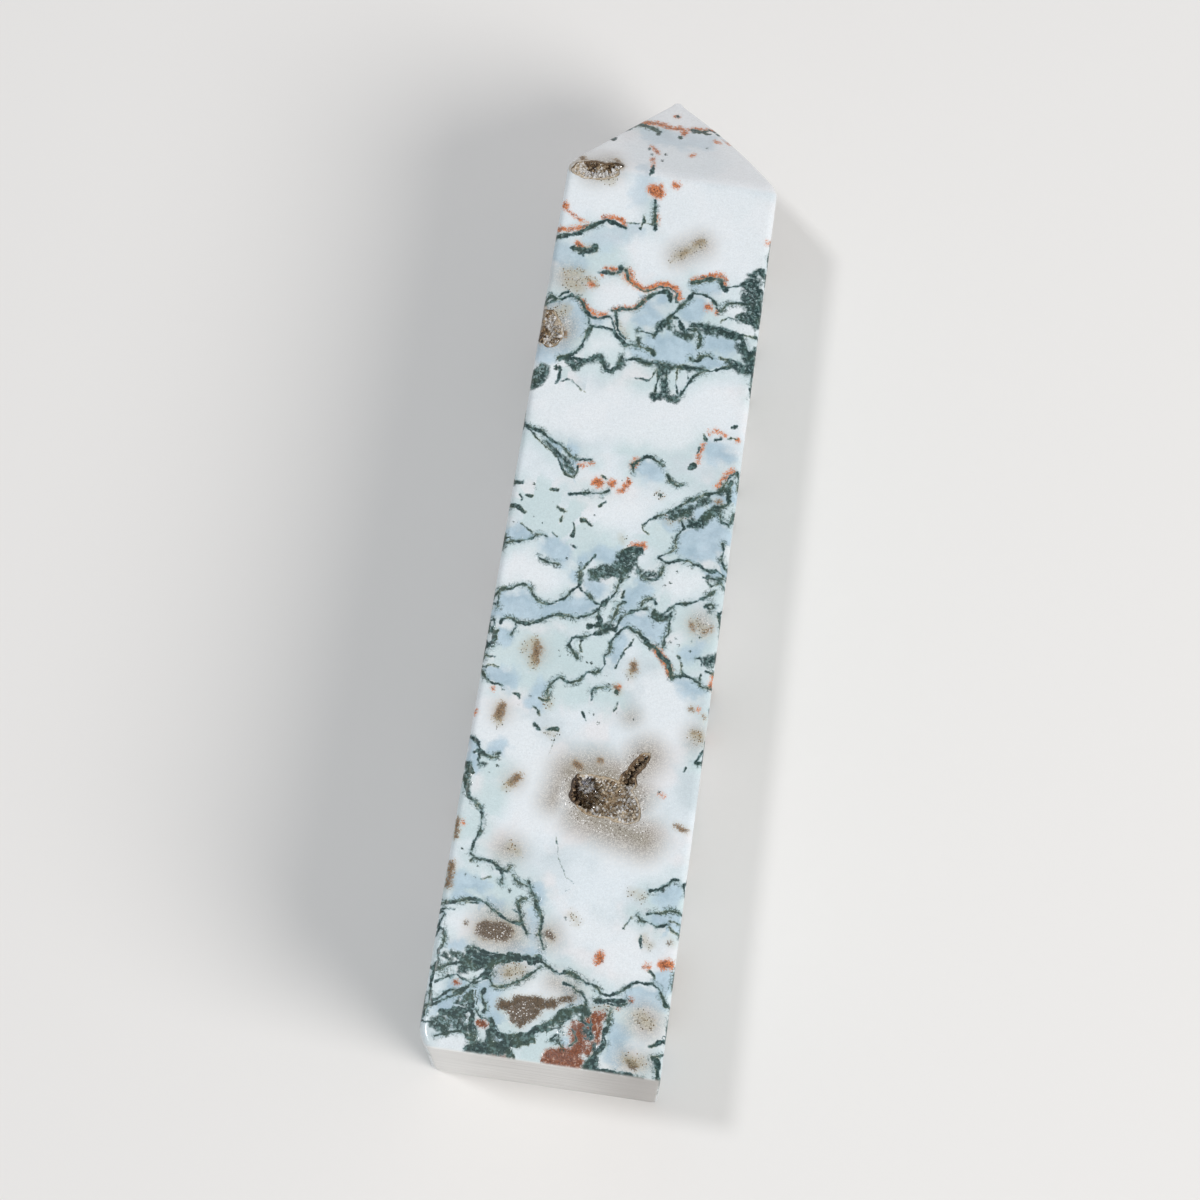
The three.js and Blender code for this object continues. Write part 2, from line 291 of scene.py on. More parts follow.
# Dark green moss veins of the upper face. Each line holds half its width and then its points,
# across and along. Lines that reach an edge are carried on over it further down.
veins = [
    (0.10, -7.7, 133.5, -6, 135.2),
    (0.20, -6, 135.2, -5, 135, -4.2, 134.7, -3, 134.2),
    (0.22, 1.5, 135.5, 3, 135.5, 4.6, 136.3),
    (0.12, 1.6, 135.1, 4.2, 135.3),
    (0.12, -3, 127, -2.9, 126, -3.2, 125),
    (0.16, -2, 121.6, -1.8, 120.5, -1.7, 119.5, -1.5, 118.5, -1.4, 117.4),
    (0.15, -3.2, 119.2, -3.1, 118.3, -3.3, 117.2),
    (0.05, -5.5, 117.6, -3.5, 117.9, -1.8, 118),
    (0.20, -15.2, 114.2, -13.5, 114.6, -12, 115.1, -10.5, 116.1, -9.3, 117, -8.3, 117.7,
     -7.5, 117.6, -5.5, 116.9),
    (0.35, -12.2, 113.0, -10.8, 112.7, -9.8, 112.9, -9.2, 113.6),
    (0.15, -8.2, 109.9, -7.4, 110.2, -6.4, 110.1, -5.4, 110.3, -5.2, 111.3),
    (0.18, -4.4, 111, -4.2, 110.2, -4, 109.5),
    (0.20, 5, 110.4, 6, 110.8, 7, 111.2, 8.3, 111.5, 8.8, 111.4, 8.9, 110.6, 9.8, 110.2),
    (0.12, 9.7, 110.3, 11.5, 111, 12.3, 111.7),
    (0.16, -15, 104.3, -14.8, 105, -14.2, 105.6, -13.3, 105.3, -12.5, 105.5, -11.5, 106.2,
     -10.5, 105.8, -10, 105.6, -9.6, 104.8, -9.2, 104.2, -8.5, 103.5, -7.5, 103.3, -6.5, 103.6),
    (0.12, -5.5, 104.7, -4.2, 105.2, -2.8, 105.3, -2.2, 105.7, -1.4, 106.7),
    (0.18, -1, 107.2, 0, 108.0, 1, 108.5, 1.8, 108.8, 2.1, 108.3, 2.2, 107.2),
    (0.12, 3, 108.5, 3, 107.3),
    (0.16, 5.2, 109, 5, 108.3, 4.3, 107.3, 3.5, 106.3, 2.7, 105.3, 2.2, 104.6, 1.5, 103.8, 1, 103),
    (0.13, 5.2, 108.9, 6.5, 108.9, 7.6, 108.6, 8.5, 107.9, 8.8, 107.2, 9.3, 106.8, 10, 107.9,
     11, 108.4, 12.5, 108.5),
    (0.30, 6.8, 104.5, 8, 104.3, 9.5, 104.2, 10.5, 103.9, 12, 103.4, 12.8, 103.5, 13.5, 102,
     14, 101, 15, 100.3),
    (0.12, 10, 104.5, 12.5, 103.9, 14.9, 103.8),
    (0.12, 12.4, 106.0, 13.6, 105.7, 14.9, 106.2),
    (0.10, 9.6, 105.4, 10.5, 106.1, 11.6, 105.9),
    (0.22, 2.8, 105.3, 3.8, 104.8, 4.6, 103.4, 5.7, 102.6),
    (0.16, 5, 103.5, 6, 103.8, 6.8, 103.5, 7.2, 102.6, 7, 101.3),
    (0.15, -6.5, 103.7, -5.6, 103.8, -5.2, 103, -4.9, 102.2, -4.6, 101.5, -4, 101, -3, 100.1,
     -2, 100.3, 0, 100, 0.7, 99.9, 1, 99.2),
    (0.12, -8.6, 103.2, -8.3, 102.2, -7.5, 102.1, -6.5, 102.3, -5, 102),
    (0.16, -8, 102, -8.4, 101.3, -8.7, 100, -9, 99, -9.7, 98, -10.3, 97.5, -11.5, 97.1, -11.7, 96.7),
    (0.12, -1.8, 102.4, -0.3, 102.3, 0.7, 102.1, 1.2, 102.8),
    (0.10, -1.5, 101.4, -1.2, 100.4),
    (0.18, -11.8, 97, -10, 97.1, -8.5, 97, -7.6, 97.2, -6.7, 97.9, -6.1, 98.3, -5.8, 97.5,
     -5.4, 96.5, -5.1, 96, -4.3, 96.2, -3.5, 97, -3.2, 98.4),
    (0.16, -2.5, 98, -1.5, 98.3, 0.3, 98.1, 2, 98.1, 4, 97.8, 6, 98.2, 7, 98.3, 9, 98.1,
     10, 98.4, 12, 99.2, 13, 99.7, 13.8, 98.9, 14.8, 98.8),
    (0.14, 8, 98, 7, 97, 6.4, 96, 5.8, 94.7, 5.5, 93.9, 4, 93.4),
    (0.12, 2, 94, 2.1, 96, 2.2, 97.8),
    (0.10, 3.4, 94.5, 3.3, 96, 3, 97.8),
    (0.08, 4.6, 97.7, 4.7, 95.6, 5.2, 94.2),
    (0.07, 6.1, 97.9, 6.2, 96.6),
    (0.08, -1, 95.6, 1, 95.6, 2, 97.7),
    (0.14, 6.1, 99.6, 6.4, 99.2, 7.2, 99.3, 7.6, 100, 8.5, 100.3, 9.2, 100),
    (0.12, 10.2, 100.2, 12, 100.1, 13, 99.7),
    (0.18, 14.2, 101.5, 14.8, 100, 15, 98.5, 15.1, 96.5, 15.2, 95.5),
    (0.14, -11.5, 95.7, -11.4, 94, -11.7, 93.3),
    (0.06, -11.2, 93.5, -10.3, 94.1, -9.5, 94, -8.2, 93, -7.5, 92.6),
    (0.14, 13.2, 90.5, 13.8, 90.9),
    (0.16, 9.5, 89, 9.9, 88.3),
    (0.14, 11.2, 88.5, 12, 88.8),
    (0.08, 13, 88.9, 14.2, 89.1),
    (0.10, 9.2, 87.1, 9.0, 86.2),
    (0.24, 8.2, 83.9, 8.8, 84.5),
    (0.15, -15.2, 86.9, -14, 86.4, -12.8, 86.2, -11.3, 85.2, -10.2, 84.8, -9, 84.2, -8.3, 83.3,
     -7, 82.9, -5.2, 83.2),
    (0.09, -15, 86.6, -13.5, 85.5, -12.5, 84.6, -10.5, 83.3, -9.8, 82.7, -9.3, 82, -9, 81.3,
     -8.3, 80.5, -7.4, 80.3),
    (0.16, -7, 82, -7, 81.2, -7.2, 80.5),
    (0.12, -7.5, 78, -6.5, 78.1, -5.5, 78.3, -4, 78.6, -3.2, 78.6, -2.2, 79.2),
    (0.14, 0.8, 82.4, 0.4, 83.2, 1.5, 84.2, 2.2, 84.8, 3, 84.7, 4.6, 83.8),
    (0.11, 5.4, 82.6, 5.8, 82, 6.2, 81.5, 7, 81.3, 7.8, 81.5),
    (0.16, 4.7, 76.4, 5.5, 76.9, 6.5, 77.4, 7.5, 78.2, 8.5, 79, 9.5, 79.8, 10.5, 80.4,
     11.5, 80.8, 12.7, 81.2, 13.3, 82, 13.6, 83, 14, 83.8, 14.7, 84.2, 15.2, 83.7, 15.3, 82),
    (0.22, 14.2, 83, 14, 82, 14.2, 80, 14, 79.5, 13, 79, 12.3, 78.4, 11.5, 77.5, 10.8, 76.7,
     10, 76.2, 9.3, 75.9),
    (0.08, 4.7, 76.4, 3.8, 75.8, 3, 75.1, 3.2, 74.3, 4, 73.9),
    (0.10, 8.2, 76.5, 8.8, 75.5, 8, 74.5, 7.8, 73.5, 8, 72.5, 7.6, 72, 6.6, 71.4, 6, 70.9),
    (0.12, 13.2, 78.8, 13.5, 77.5, 14, 77, 14.8, 76.7, 15.2, 77.5, 15.3, 78.5),
    (0.14, 6, 70.9, 6.5, 70.5, 7.3, 70.3, 8, 70.5, 8.7, 70.9, 10.2, 71, 10.8, 70.5, 11.5, 70.7,
     12, 70.1, 13, 69.9, 14, 70.2, 15.3, 69.5),
    (0.11, 14.3, 74, 14.6, 73, 14.3, 72, 15, 70.6),
    (0.10, 12.3, 69, 14, 68.9, 15, 69.3),
    (0.10, 12.8, 68.5, 13.6, 67.9, 14.7, 68.5),
    (0.30, 1, 70.9, 1.8, 71.3, 3.4, 71.5),
    (0.12, 2.3, 67.5, 1.3, 67, 0.9, 66, 0.9, 65.3, 0.3, 64.3, -0.9, 63.1),
    (0.11, 4, 68, 4.8, 67.6, 5.5, 67.6, 6.2, 68, 6.6, 68.8, 6.7, 69.8),
    (0.12, 14, 67.1, 13, 66.3, 11.5, 65.3, 10, 64.9, 9.3, 64.8, 8.9, 64.4, 8.3, 63.9, 8, 63.4,
     7.5, 63, 7, 62.5, 6.4, 62.3),
    (0.10, 13.2, 65, 13.9, 65.5, 14.5, 65, 13.9, 64.6, 13.2, 65),
    (0.14, 15.1, 64.3, 15.6, 63, 15.7, 62.5),
    (0.12, -15.5, 69.2, -15.3, 69.8, -14.5, 70.1, -13.5, 70.3, -12.5, 70.6, -11.7, 71,
     -11, 71.6, -10.3, 71.7, -9.7, 71.5),
    (0.14, -10.2, 68.4, -9.3, 68.1, -8.4, 67.9, -7.6, 67.9),
    (0.11, -15.6, 62, -15, 63, -14.5, 63.5, -13.5, 63.5, -13, 63.9, -12, 64.4, -11.4, 64.5),
    (0.11, -11, 64.1, -10.6, 63.8, -10.4, 63.3, -10, 62.8, -9.3, 62.3, -8.5, 62.1, -7.7, 62.2,
     -7, 62.7, -6, 63.3, -5.5, 63.9, -5.1, 64.6, -4.3, 65.2, -4.3, 66, -4.5, 67.3, -4.6, 68),
    (0.12, -4.2, 65, -3.4, 64.5, -2.8, 64.2, -2.3, 63.7, -1.6, 63.2, -1, 63.1),
    (0.10, -14.9, 63, -14.9, 61.9, -14.8, 60.8),
    (0.17, -14.2, 58.6, -13.9, 59.2, -13.3, 59.5, -12.7, 59.5, -12.1, 59.1, -11, 59, -10, 59.1,
     -9, 59.6, -8.3, 60.1, -7.7, 60.4, -7, 60.8, -6, 61, -5, 60.9, -4, 60.8, -3, 61.2,
     -2.2, 61.5, -1.5, 62.1, -1, 62.8, -0.5, 63.3, 0, 64.2),
    (0.22, -1.2, 62.4, -1, 61.5, -0.7, 60.8, -0.3, 60.1, 0.2, 59.6),
    (0.28, -2.2, 60, -0.8, 60.2, 1.5, 60),
    (0.14, -0.3, 59.2, -1.5, 58.8, -2.5, 58.4, -3.5, 58.2, -4.2, 57.9, -4.4, 57.3, -4.5, 56.9,
     -3.8, 56.2, -3.3, 55.6, -3, 55.3),
    (0.10, -2.8, 57.8, -2.9, 56.9, -2.6, 56.3),
    (0.11, -15, 58.9, -14.8, 58.3, -15.2, 57.9, -14.8, 57.3),
    (0.22, -14.3, 57.5, -14.7, 56.2, -14.8, 55.7),
    (0.10, -15.7, 56, -15.4, 55.5, -14.8, 55.2, -14.5, 55.3),
    (0.10, -12, 58.9, -11.9, 58.2, -12.3, 57.6, -12.5, 57.2),
    (0.14, -15.6, 58.5, -15.6, 57.3),
    (0.10, -15.4, 53.9, -14.2, 53.8),
    (0.09, -15.1, 52.3, -14.5, 52.7, -13.5, 52.6),
    (0.11, -15.6, 51.8, -15.3, 51.2, -14.8, 50.7, -14, 50.3, -13.2, 50.1, -12.6, 50.1),
    (0.12, -6.2, 49.2, -6.4, 50, -6.1, 51, -5.7, 51.8, -5, 52.2, -4.5, 52.2, -4, 51.8,
     -3.2, 51.9, -2.5, 52.2, -1.9, 52.9, -1.5, 53.5, -0.7, 53.6, 0, 53.9, 0.5, 54.3, 0.8, 54.8,
     0.6, 55.5, 0.5, 56, 1.1, 56.7, 1.2, 57.4, 1.1, 58.1, 1.4, 58.6, 1.8, 59.4, 2.6, 60.3,
     3.2, 60.6, 3.8, 60.2, 4.8, 60, 5.3, 59.5, 5.9, 59.2, 6.4, 59.1),
    (0.10, 0.8, 61, 1, 61.8, 1.4, 62.8, 1.3, 63.4, 1.8, 63.8, 2.3, 64),
    (0.09, 1.8, 64.6, 1.9, 65.5),
    (0.10, 1.6, 60.2, 1.8, 61, 2.1, 61.8, 2.8, 62.4, 3.6, 63, 4.6, 63.3, 5.3, 63.5),
    (0.11, 4.5, 63.8, 4.8, 64.6, 5.3, 65, 5.8, 64.9, 6.1, 64.9, 6.5, 64.2),
    (0.25, 6.4, 63.4, 6.4, 62.5, 7, 62.3, 7.8, 62.7, 8.6, 62.8),
    (0.11, 8.7, 63.4, 8.7, 61.8, 8.8, 61, 8.6, 60.4, 8.3, 59.6, 8.2, 58.9, 8.3, 58.5),
    (0.20, 6, 59, 6.5, 58.5, 7.3, 58.3, 7.8, 57.8, 8.4, 57.1, 9.2, 56.6),
    (0.20, 9.3, 56.6, 9.5, 55.7, 9.8, 55.1, 10.1, 54.4),
    (0.12, 10.1, 54.4, 10.3, 54.7, 11, 54.8, 11.6, 55.1, 12.2, 55, 12.7, 54.8, 13.4, 54.6,
     13.9, 54.2, 14.3, 53.8, 15, 53.7),
    (0.09, 13.8, 54.5, 13.9, 55.5),
    (0.10, 14.5, 56, 15.6, 55.9),
    (0.10, 10.4, 57.6, 10.9, 57.2),
    (0.09, 10.9, 56.9, 11.2, 56.3, 11.3, 55.5, 11.6, 55.2),
    (0.11, 13, 57.6, 13.6, 57.8, 13.8, 57.3, 13.8, 56.8),
    (0.09, 4.2, 59, 4, 58.5, 3.8, 58, 3.2, 57.4, 3.1, 56.9, 2.9, 56.3, 2.5, 55.6, 2.3, 54.8),
    (0.10, 1.8, 51.9, 0.5, 51.8, -0.2, 51.4, -0.4, 50.8, -0.2, 49.8),
    (0.09, 3.3, 50, 3.3, 49.3, 2.9, 48.8),
    (0.16, -10.7, 49.15, -10.1, 49.05, -10, 48.7),
    (0.15, -7.4, 49.1, -6.6, 48.8, -6.1, 49),
    (0.13, -7.9, 47.7, -7.4, 47.5, -6.9, 46.8),
    (0.14, -7.5, 45.5, -7.2, 45.2, -6.6, 44.8),
    (0.20, -5.6, 44.9, -4.9, 45.1, -4.3, 45.2),
    (0.03, -4.5, 43.6, -4.7, 42.5, -4.9, 41.5),
    (0.11, -1.2, 47.9, -0.9, 47.3, -0.7, 47),
    (0.17, -15.8, 42.5, -15.2, 42.2, -14.6, 41.7, -14.2, 41, -13.7, 40.5, -13, 40.1, -12.2, 40.1,
     -11.6, 40.3),
    (0.13, -12, 40.5, -11.5, 40.8),
    (0.14, -14.9, 40.3, -14.2, 40.9),
    (0.13, -14.3, 40.4, -14.2, 39.4),
    (0.24, -15.2, 38.7, -15.1, 38, -14.7, 37.7),
    (0.25, -15.8, 36.8, -15.5, 36.0, -15.1, 35.2, -14.8, 34.6),
    (0.22, -14.8, 34.6, -14.4, 34.1, -13.6, 33.6, -13, 33.1, -12.8, 32.8),
    (0.15, -12.8, 32.8, -12.5, 32, -12.4, 31, -12.4, 30, -12.7, 29, -13.1, 28.2, -13.2, 27.2),
    (0.14, 15.8, 45.3, 15.3, 44.2, 14.9, 43.4),
    (0.07, 13.8, 42.5, 13.6, 42),
    (0.12, -13.2, 26.7, -12.7, 26.2, -11.8, 26.1, -10.8, 26, -10.2, 25.9, -9.5, 25.5,
     -8.8, 25.1, -8, 25, -7.7, 25.6),
    (0.09, -12.8, 26.2, -13, 25.6),
    (0.10, -9.5, 25.2, -8.8, 24.8, -8.5, 24.2, -8.7, 23.5, -8.2, 23.2),
    (0.11, -7.2, 24.5, -6.8, 24, -6.2, 23.6, -5.4, 23.4, -4.9, 23.3),
    (0.15, -4.9, 24, -4.6, 23.2, -4.3, 22.6, -3.7, 22.1, -3.6, 21.5, -3.2, 20.7, -2.8, 20,
     -2.4, 19.2, -2.3, 18.4, -2.5, 17.6, -2.4, 17, -2, 16.2, -1.7, 15.4),
    (0.12, -5, 21.6, -5.6, 21.4, -5.9, 20.9, -5.7, 20.2, -5.4, 19.6, -5.2, 18.9, -5, 18.2,
     -4.5, 17.6, -4.1, 17),
    (0.08, -6.5, 20, -5.4, 19.5),
    (0.14, -16, 19.4, -15.3, 19.6, -14.2, 19.9, -13, 20.3, -12, 20.6, -11, 20.6, -10.3, 20.4,
     -9.6, 19.8, -8.7, 19.3, -7.8, 18.8, -7, 18.4, -6, 18.2, -5.2, 18.2),
    (0.07, -12.8, 19.8, -11.2, 20.2),
    (0.09, -15.4, 18.8, -14.3, 18.8),
    (0.07, -11.3, 23.4, -10.2, 23.9),
    (0.04, -2.4, 31.2, -1.9, 29.6, -1.8, 28.8, -1.6, 28, -0.9, 26.8, -0.1, 25.2, 1.2, 24.6),
    (0.02, 1.1, 24.2, -0.5, 22.9, -1.4, 21),
    (0.12, 11.3, 25.2, 12.5, 25.4, 13.2, 26, 13.7, 26.5, 14.3, 27.2, 14.9, 27.1),
    (0.12, 15.7, 26.6, 16.2, 25.2),
    (0.12, 11.5, 22, 12.5, 22.2, 13.3, 22.2, 14, 22.7, 14.7, 22.9, 16.2, 22.6),
    (0.11, 10.3, 21.6, 10.6, 21, 11.5, 20.9, 12.3, 20.7, 13, 20.4, 13.8, 20.7, 14.2, 21),
    (0.10, 14.5, 21.5, 16.3, 21.2),
    (0.10, 14.7, 20.6, 15.5, 20, 16.3, 19.8),
    (0.07, 9.4, 21.2, 8.6, 19.6),
    (0.11, 11, 19, 11.1, 18, 11.3, 17.3),
    (0.12, -15.4, 18.2, -15.7, 17.4, -15.9, 16.7, -16, 16, -16.2, 14.8),
    (0.13, -15.4, 16, -15, 15.3, -14.9, 14.6, -15, 13.9, -15.5, 13.2, -15.4, 12.3, -15.3, 11.6,
     -15.5, 11, -15.7, 10.3, -15.8, 9.3, -15.8, 8.2, -15.6, 7, -15.5, 6, -15.9, 5.3, -16.1, 4.2),
    (0.12, -16.3, 3.4, -15.6, 3.3, -14.6, 3.5),
    (0.16, -15.6, 10.5, -14.8, 10.8, -14.2, 11.2, -13.3, 11.6, -12.5, 11.8, -11.8, 12.4,
     -11.2, 13.6, -10.9, 14.2, -10.3, 13.9, -9.2, 13.6, -8.2, 13.7, -7.6, 13.7),
    (0.20, -10.8, 11.8, -9.5, 12.2, -8.5, 12.6, -7.5, 12.6, -6.7, 12.9),
    (0.15, -4.8, 13.4, -4.1, 13.6, -3.2, 13.8, -2.3, 13.8, -1.6, 13.6, -0.9, 13.2, -0.2, 12.8,
     0.5, 12.5, 1, 12.2),
    (0.13, -8, 10.2, -7.7, 9.5, -7, 9.3, -6.2, 9.5, -5.3, 9.9, -4.5, 10.4, -3.7, 10.9,
     -2.8, 11.7, -2.2, 12.3, -1.7, 12.9),
    (0.22, -8.8, 11.5, -9, 10.9, -9.5, 10.2, -10, 9.8, -10.5, 9.3, -11, 8.7, -11.6, 8.2,
     -12.5, 7.6),
    (0.10, -7.8, 11, -8.2, 10.4, -9, 10, -9.8, 9.5),
    (0.12, -12.5, 10.2, -11.7, 9.7, -10.8, 9.5),
    (0.12, -15.3, 8.8, -14.6, 9.2, -13.8, 9.7, -12.8, 10.1),
    (0.14, -15.3, 6.3, -14.6, 6.6, -14, 7.2, -13.3, 7.9, -12.6, 8.1),
    (0.20, -10.6, 7.8, -10, 7, -9.8, 6.3, -10.2, 5.7, -10.8, 5.6, -12, 5.6, -13, 5.1, -13.8, 5),
    (0.14, -8.6, 8.8, -8.8, 7.8, -8.4, 7, -8, 6.4, -8.2, 5.8),
    (0.14, -9.3, 6, -9, 5.4, -8.6, 5, -8, 4.9, -7.5, 4.8, -7.1, 4.5, -6.8, 4, -6.9, 3.2,
     -6.7, 2, -6.5, 1.3),
    (0.14, -9.5, 5, -9.4, 4, -9, 3.3, -8.7, 2.5, -9, 1.8),
    (0.14, -14.3, 1.7, -13.8, 1.8, -12.5, 2.4, -11.5, 2.7, -10.5, 2.7, -10, 2.3, -9.7, 2),
    (0.10, -3.9, 1.4, -3.5, 0.7, -3.3, 0.1),
    (0.20, -2, 3, -1.3, 3.5, -1, 4.2, -0.3, 4.8, 0, 5),
    (0.09, -6.4, 4.2, -5.9, 3.6, -5.5, 3.1, -5, 2.9, -4, 3.05, -2.3, 3.2),
    (0.45, -11, 12.4, -9.5, 12.5, -8, 13.0, -6.5, 13.2, -5, 13.5, -3.2, 13.7, -2.2, 13.6),
    (0.20, -8.2, 12.6, -8.3, 11.2, -8.8, 10.2, -10, 9.4, -11.2, 8.4),
    (0.14, -11.2, 8.4, -12.4, 7.5, -13.6, 6.8, -14.6, 6.1, -15.4, 5.6),
    (0.28, -10.3, 8.2, -10.2, 7.2, -10.1, 6.2, -9.6, 5.2),
    (0.30, -12.6, 5.0, -11.4, 5.4, -10.2, 5.7),
    (0.24, -9.5, 5, -9.7, 3.6, -9.2, 2.4, -9.2, 1.2),
    (0.26, -7.1, 4.8, -6.7, 3.6, -7, 2.4, -6.8, 1.2),
    (0.40, -9.8, 0.5, -8.6, 0.9, -7, 0.8, -5.6, 1.4, -4.4, 1.3, -3.8, 0.6),
    (0.36, -6, 1.6, -4.6, 2.0, -3.2, 2.2, -2.2, 2.6, -1.3, 3.2),
    (0.36, -6.4, 3.3, -5.2, 2.9, -3.8, 3.1, -2.4, 3.3, -1.2, 4.1, 0.2, 5.1, 1.2, 5.9, 2.3, 7.2,
     3.4, 7.9, 5.2, 8.2),
    (0.10, 1.2, 3.2, 1.8, 3.7, 2.3, 4.4, 2.1, 3.4, 2.8, 2.6),
    (0.09, 3.8, 3.0, 4.5, 3.7, 4.3, 4.6, 3.7, 5.2),
    (0.08, 6.0, 4.4, 6.2, 5.6, 6.0, 7.2),
    (0.10, 5.0, 6.6, 5.6, 6.0, 6.3, 6.2), (0.08, 6.8, 4.6, 6.3, 4.1, 5.6, 4.3),
    (0.09, -4.2, 109.6, -3, 108.7, -1.5, 108.1, -0.4, 108.6, 0.6, 109.2, 1.8, 109.2, 2.8, 108.6),
    (0.13, -14.4, 104.6, -13.4, 105.3), (0.11, -11.8, 84.9, -10.4, 83.9, -9.2, 82.8, -8.4, 81.8),
    (0.20, 8.5, 7.4, 8.3, 6.0, 8.0, 4.6, 8.3, 3.4, 7.4, 2.4, 6.8, 1.2),
    (0.18, 6.5, 9.2, 7.6, 9.6, 9, 9.8, 10.2, 9.9),
    (0.20, 16.2, 5.4, 15.4, 5.0, 14.8, 4.6),
    (0.22, 14.9, 3.0, 15.5, 2.7, 15.8, 1.7, 16.0, 0.4),
    (0.24, -15.0, 78.6, -14.2, 78.6), (0.15, -10.2, 78.2, -9.2, 78.2),
    (0.10, -14.2, 76.9, -13.8, 76.2), (0.10, -13.4, 76.9, -12.5, 76.9),
    (0.16, -15.2, 75.2, -14.4, 75.1, -13.2, 74.5), (0.14, -8.8, 75.7, -7.8, 75.4),
    (0.13, -8.0, 74.6, -8.1, 74.0), (0.08, -13.4, 72.8, -12.6, 72.3, -11.8, 71.8),
    (0.15, -6.4, 74.0, -6.0, 73.2, -6.2, 72.2), (0.22, -5.3, 74.6, -4.6, 74.4, -4.0, 73.9),
    (0.15, -8.9, 72.2, -8.4, 71.7), (0.14, -6.2, 70.9, -5.6, 70.6), (0.12, -3.2, 76.9, -2.4, 77.6),
    (0.16, -3.4, 81.1, -2.9, 80.8), (0.09, -2.8, 69.9, -3.4, 68.8, -4.2, 67.6, -4.2, 66.4),
    (0.14, -11.4, 106.1, -10.3, 106.0), (0.18, -13.2, 105.6, -12.6, 106.2, -12.0, 106.5),
    (0.12, -5.1, 104.6, -4.8, 103.6, -4.6, 102.6, -4.0, 101.6, -3.2, 101.0),
    (0.14, 1.3, 5.8, 2.2, 5.7, 2.9, 6.2, 3.2, 7.0), (0.16, 5.2, 8.2, 5.8, 7.6, 5.4, 7.1),
    (0.11, 0.3, 4.6, 1.2, 4.9, 2.1, 5.2),
    (0.11, 1.2, 3.4, 1.5, 3.9, 2.1, 4.2),
    (0.15, 1.2, 12.3, 1.8, 12.6, 2.3, 12.7, 3, 12.5, 3.6, 12.1, 4.3, 11.8, 5, 11.5, 5.8, 11.5,
     6.3, 11.1, 6.7, 10.6, 7.3, 10.4, 8, 10.4, 8.7, 10.7, 9.3, 11, 9.8, 11.5, 10.3, 12,
     11, 12.5, 11.8, 12.7, 12.8, 12.7, 13.6, 12.8, 14.2, 12.4, 14.8, 11.7, 15.2, 11,
     15.6, 10.2, 16.4, 10.1),
    (0.13, 1.7, 11.1, 2.3, 11.1, 2.9, 11, 3.5, 10.5, 4.2, 10.2, 4.8, 9.7, 5.1, 9.2, 5.2, 8.6),
    (0.13, 6.2, 9.3, 6.8, 9.6, 7.5, 9.7, 8.3, 9.8, 9, 9.8, 9.7, 10, 10.3, 10.1),
    (0.10, 8, 9.3, 9, 9.2, 9.8, 9.3, 10.5, 9.7),
    (0.14, 8.5, 8.7, 8.4, 8, 8.2, 7.2, 8.7, 6.6, 8.4, 5.9, 8.1, 5.2, 8.3, 4.3, 8.5, 3.7,
     7.8, 3.3, 7.3, 2.6, 7, 1.9, 6.6, 1.1, 6.3, 0.4),
    (0.18, 7, 0.2, 9.5, 0.4, 10.5, 0.3, 12, 0.2, 14, -0.1),
    (0.11, 14.3, 4.5, 15.2, 4.9, 16.4, 5.5),
    (0.10, 15, 3, 15.9, 3.4),
    (0.14, 15.2, 2.8, 15.5, 2, 15.8, 1, 15.9, 0.2),
    (0.14, 13, 14.4, 13.7, 13.6),
]

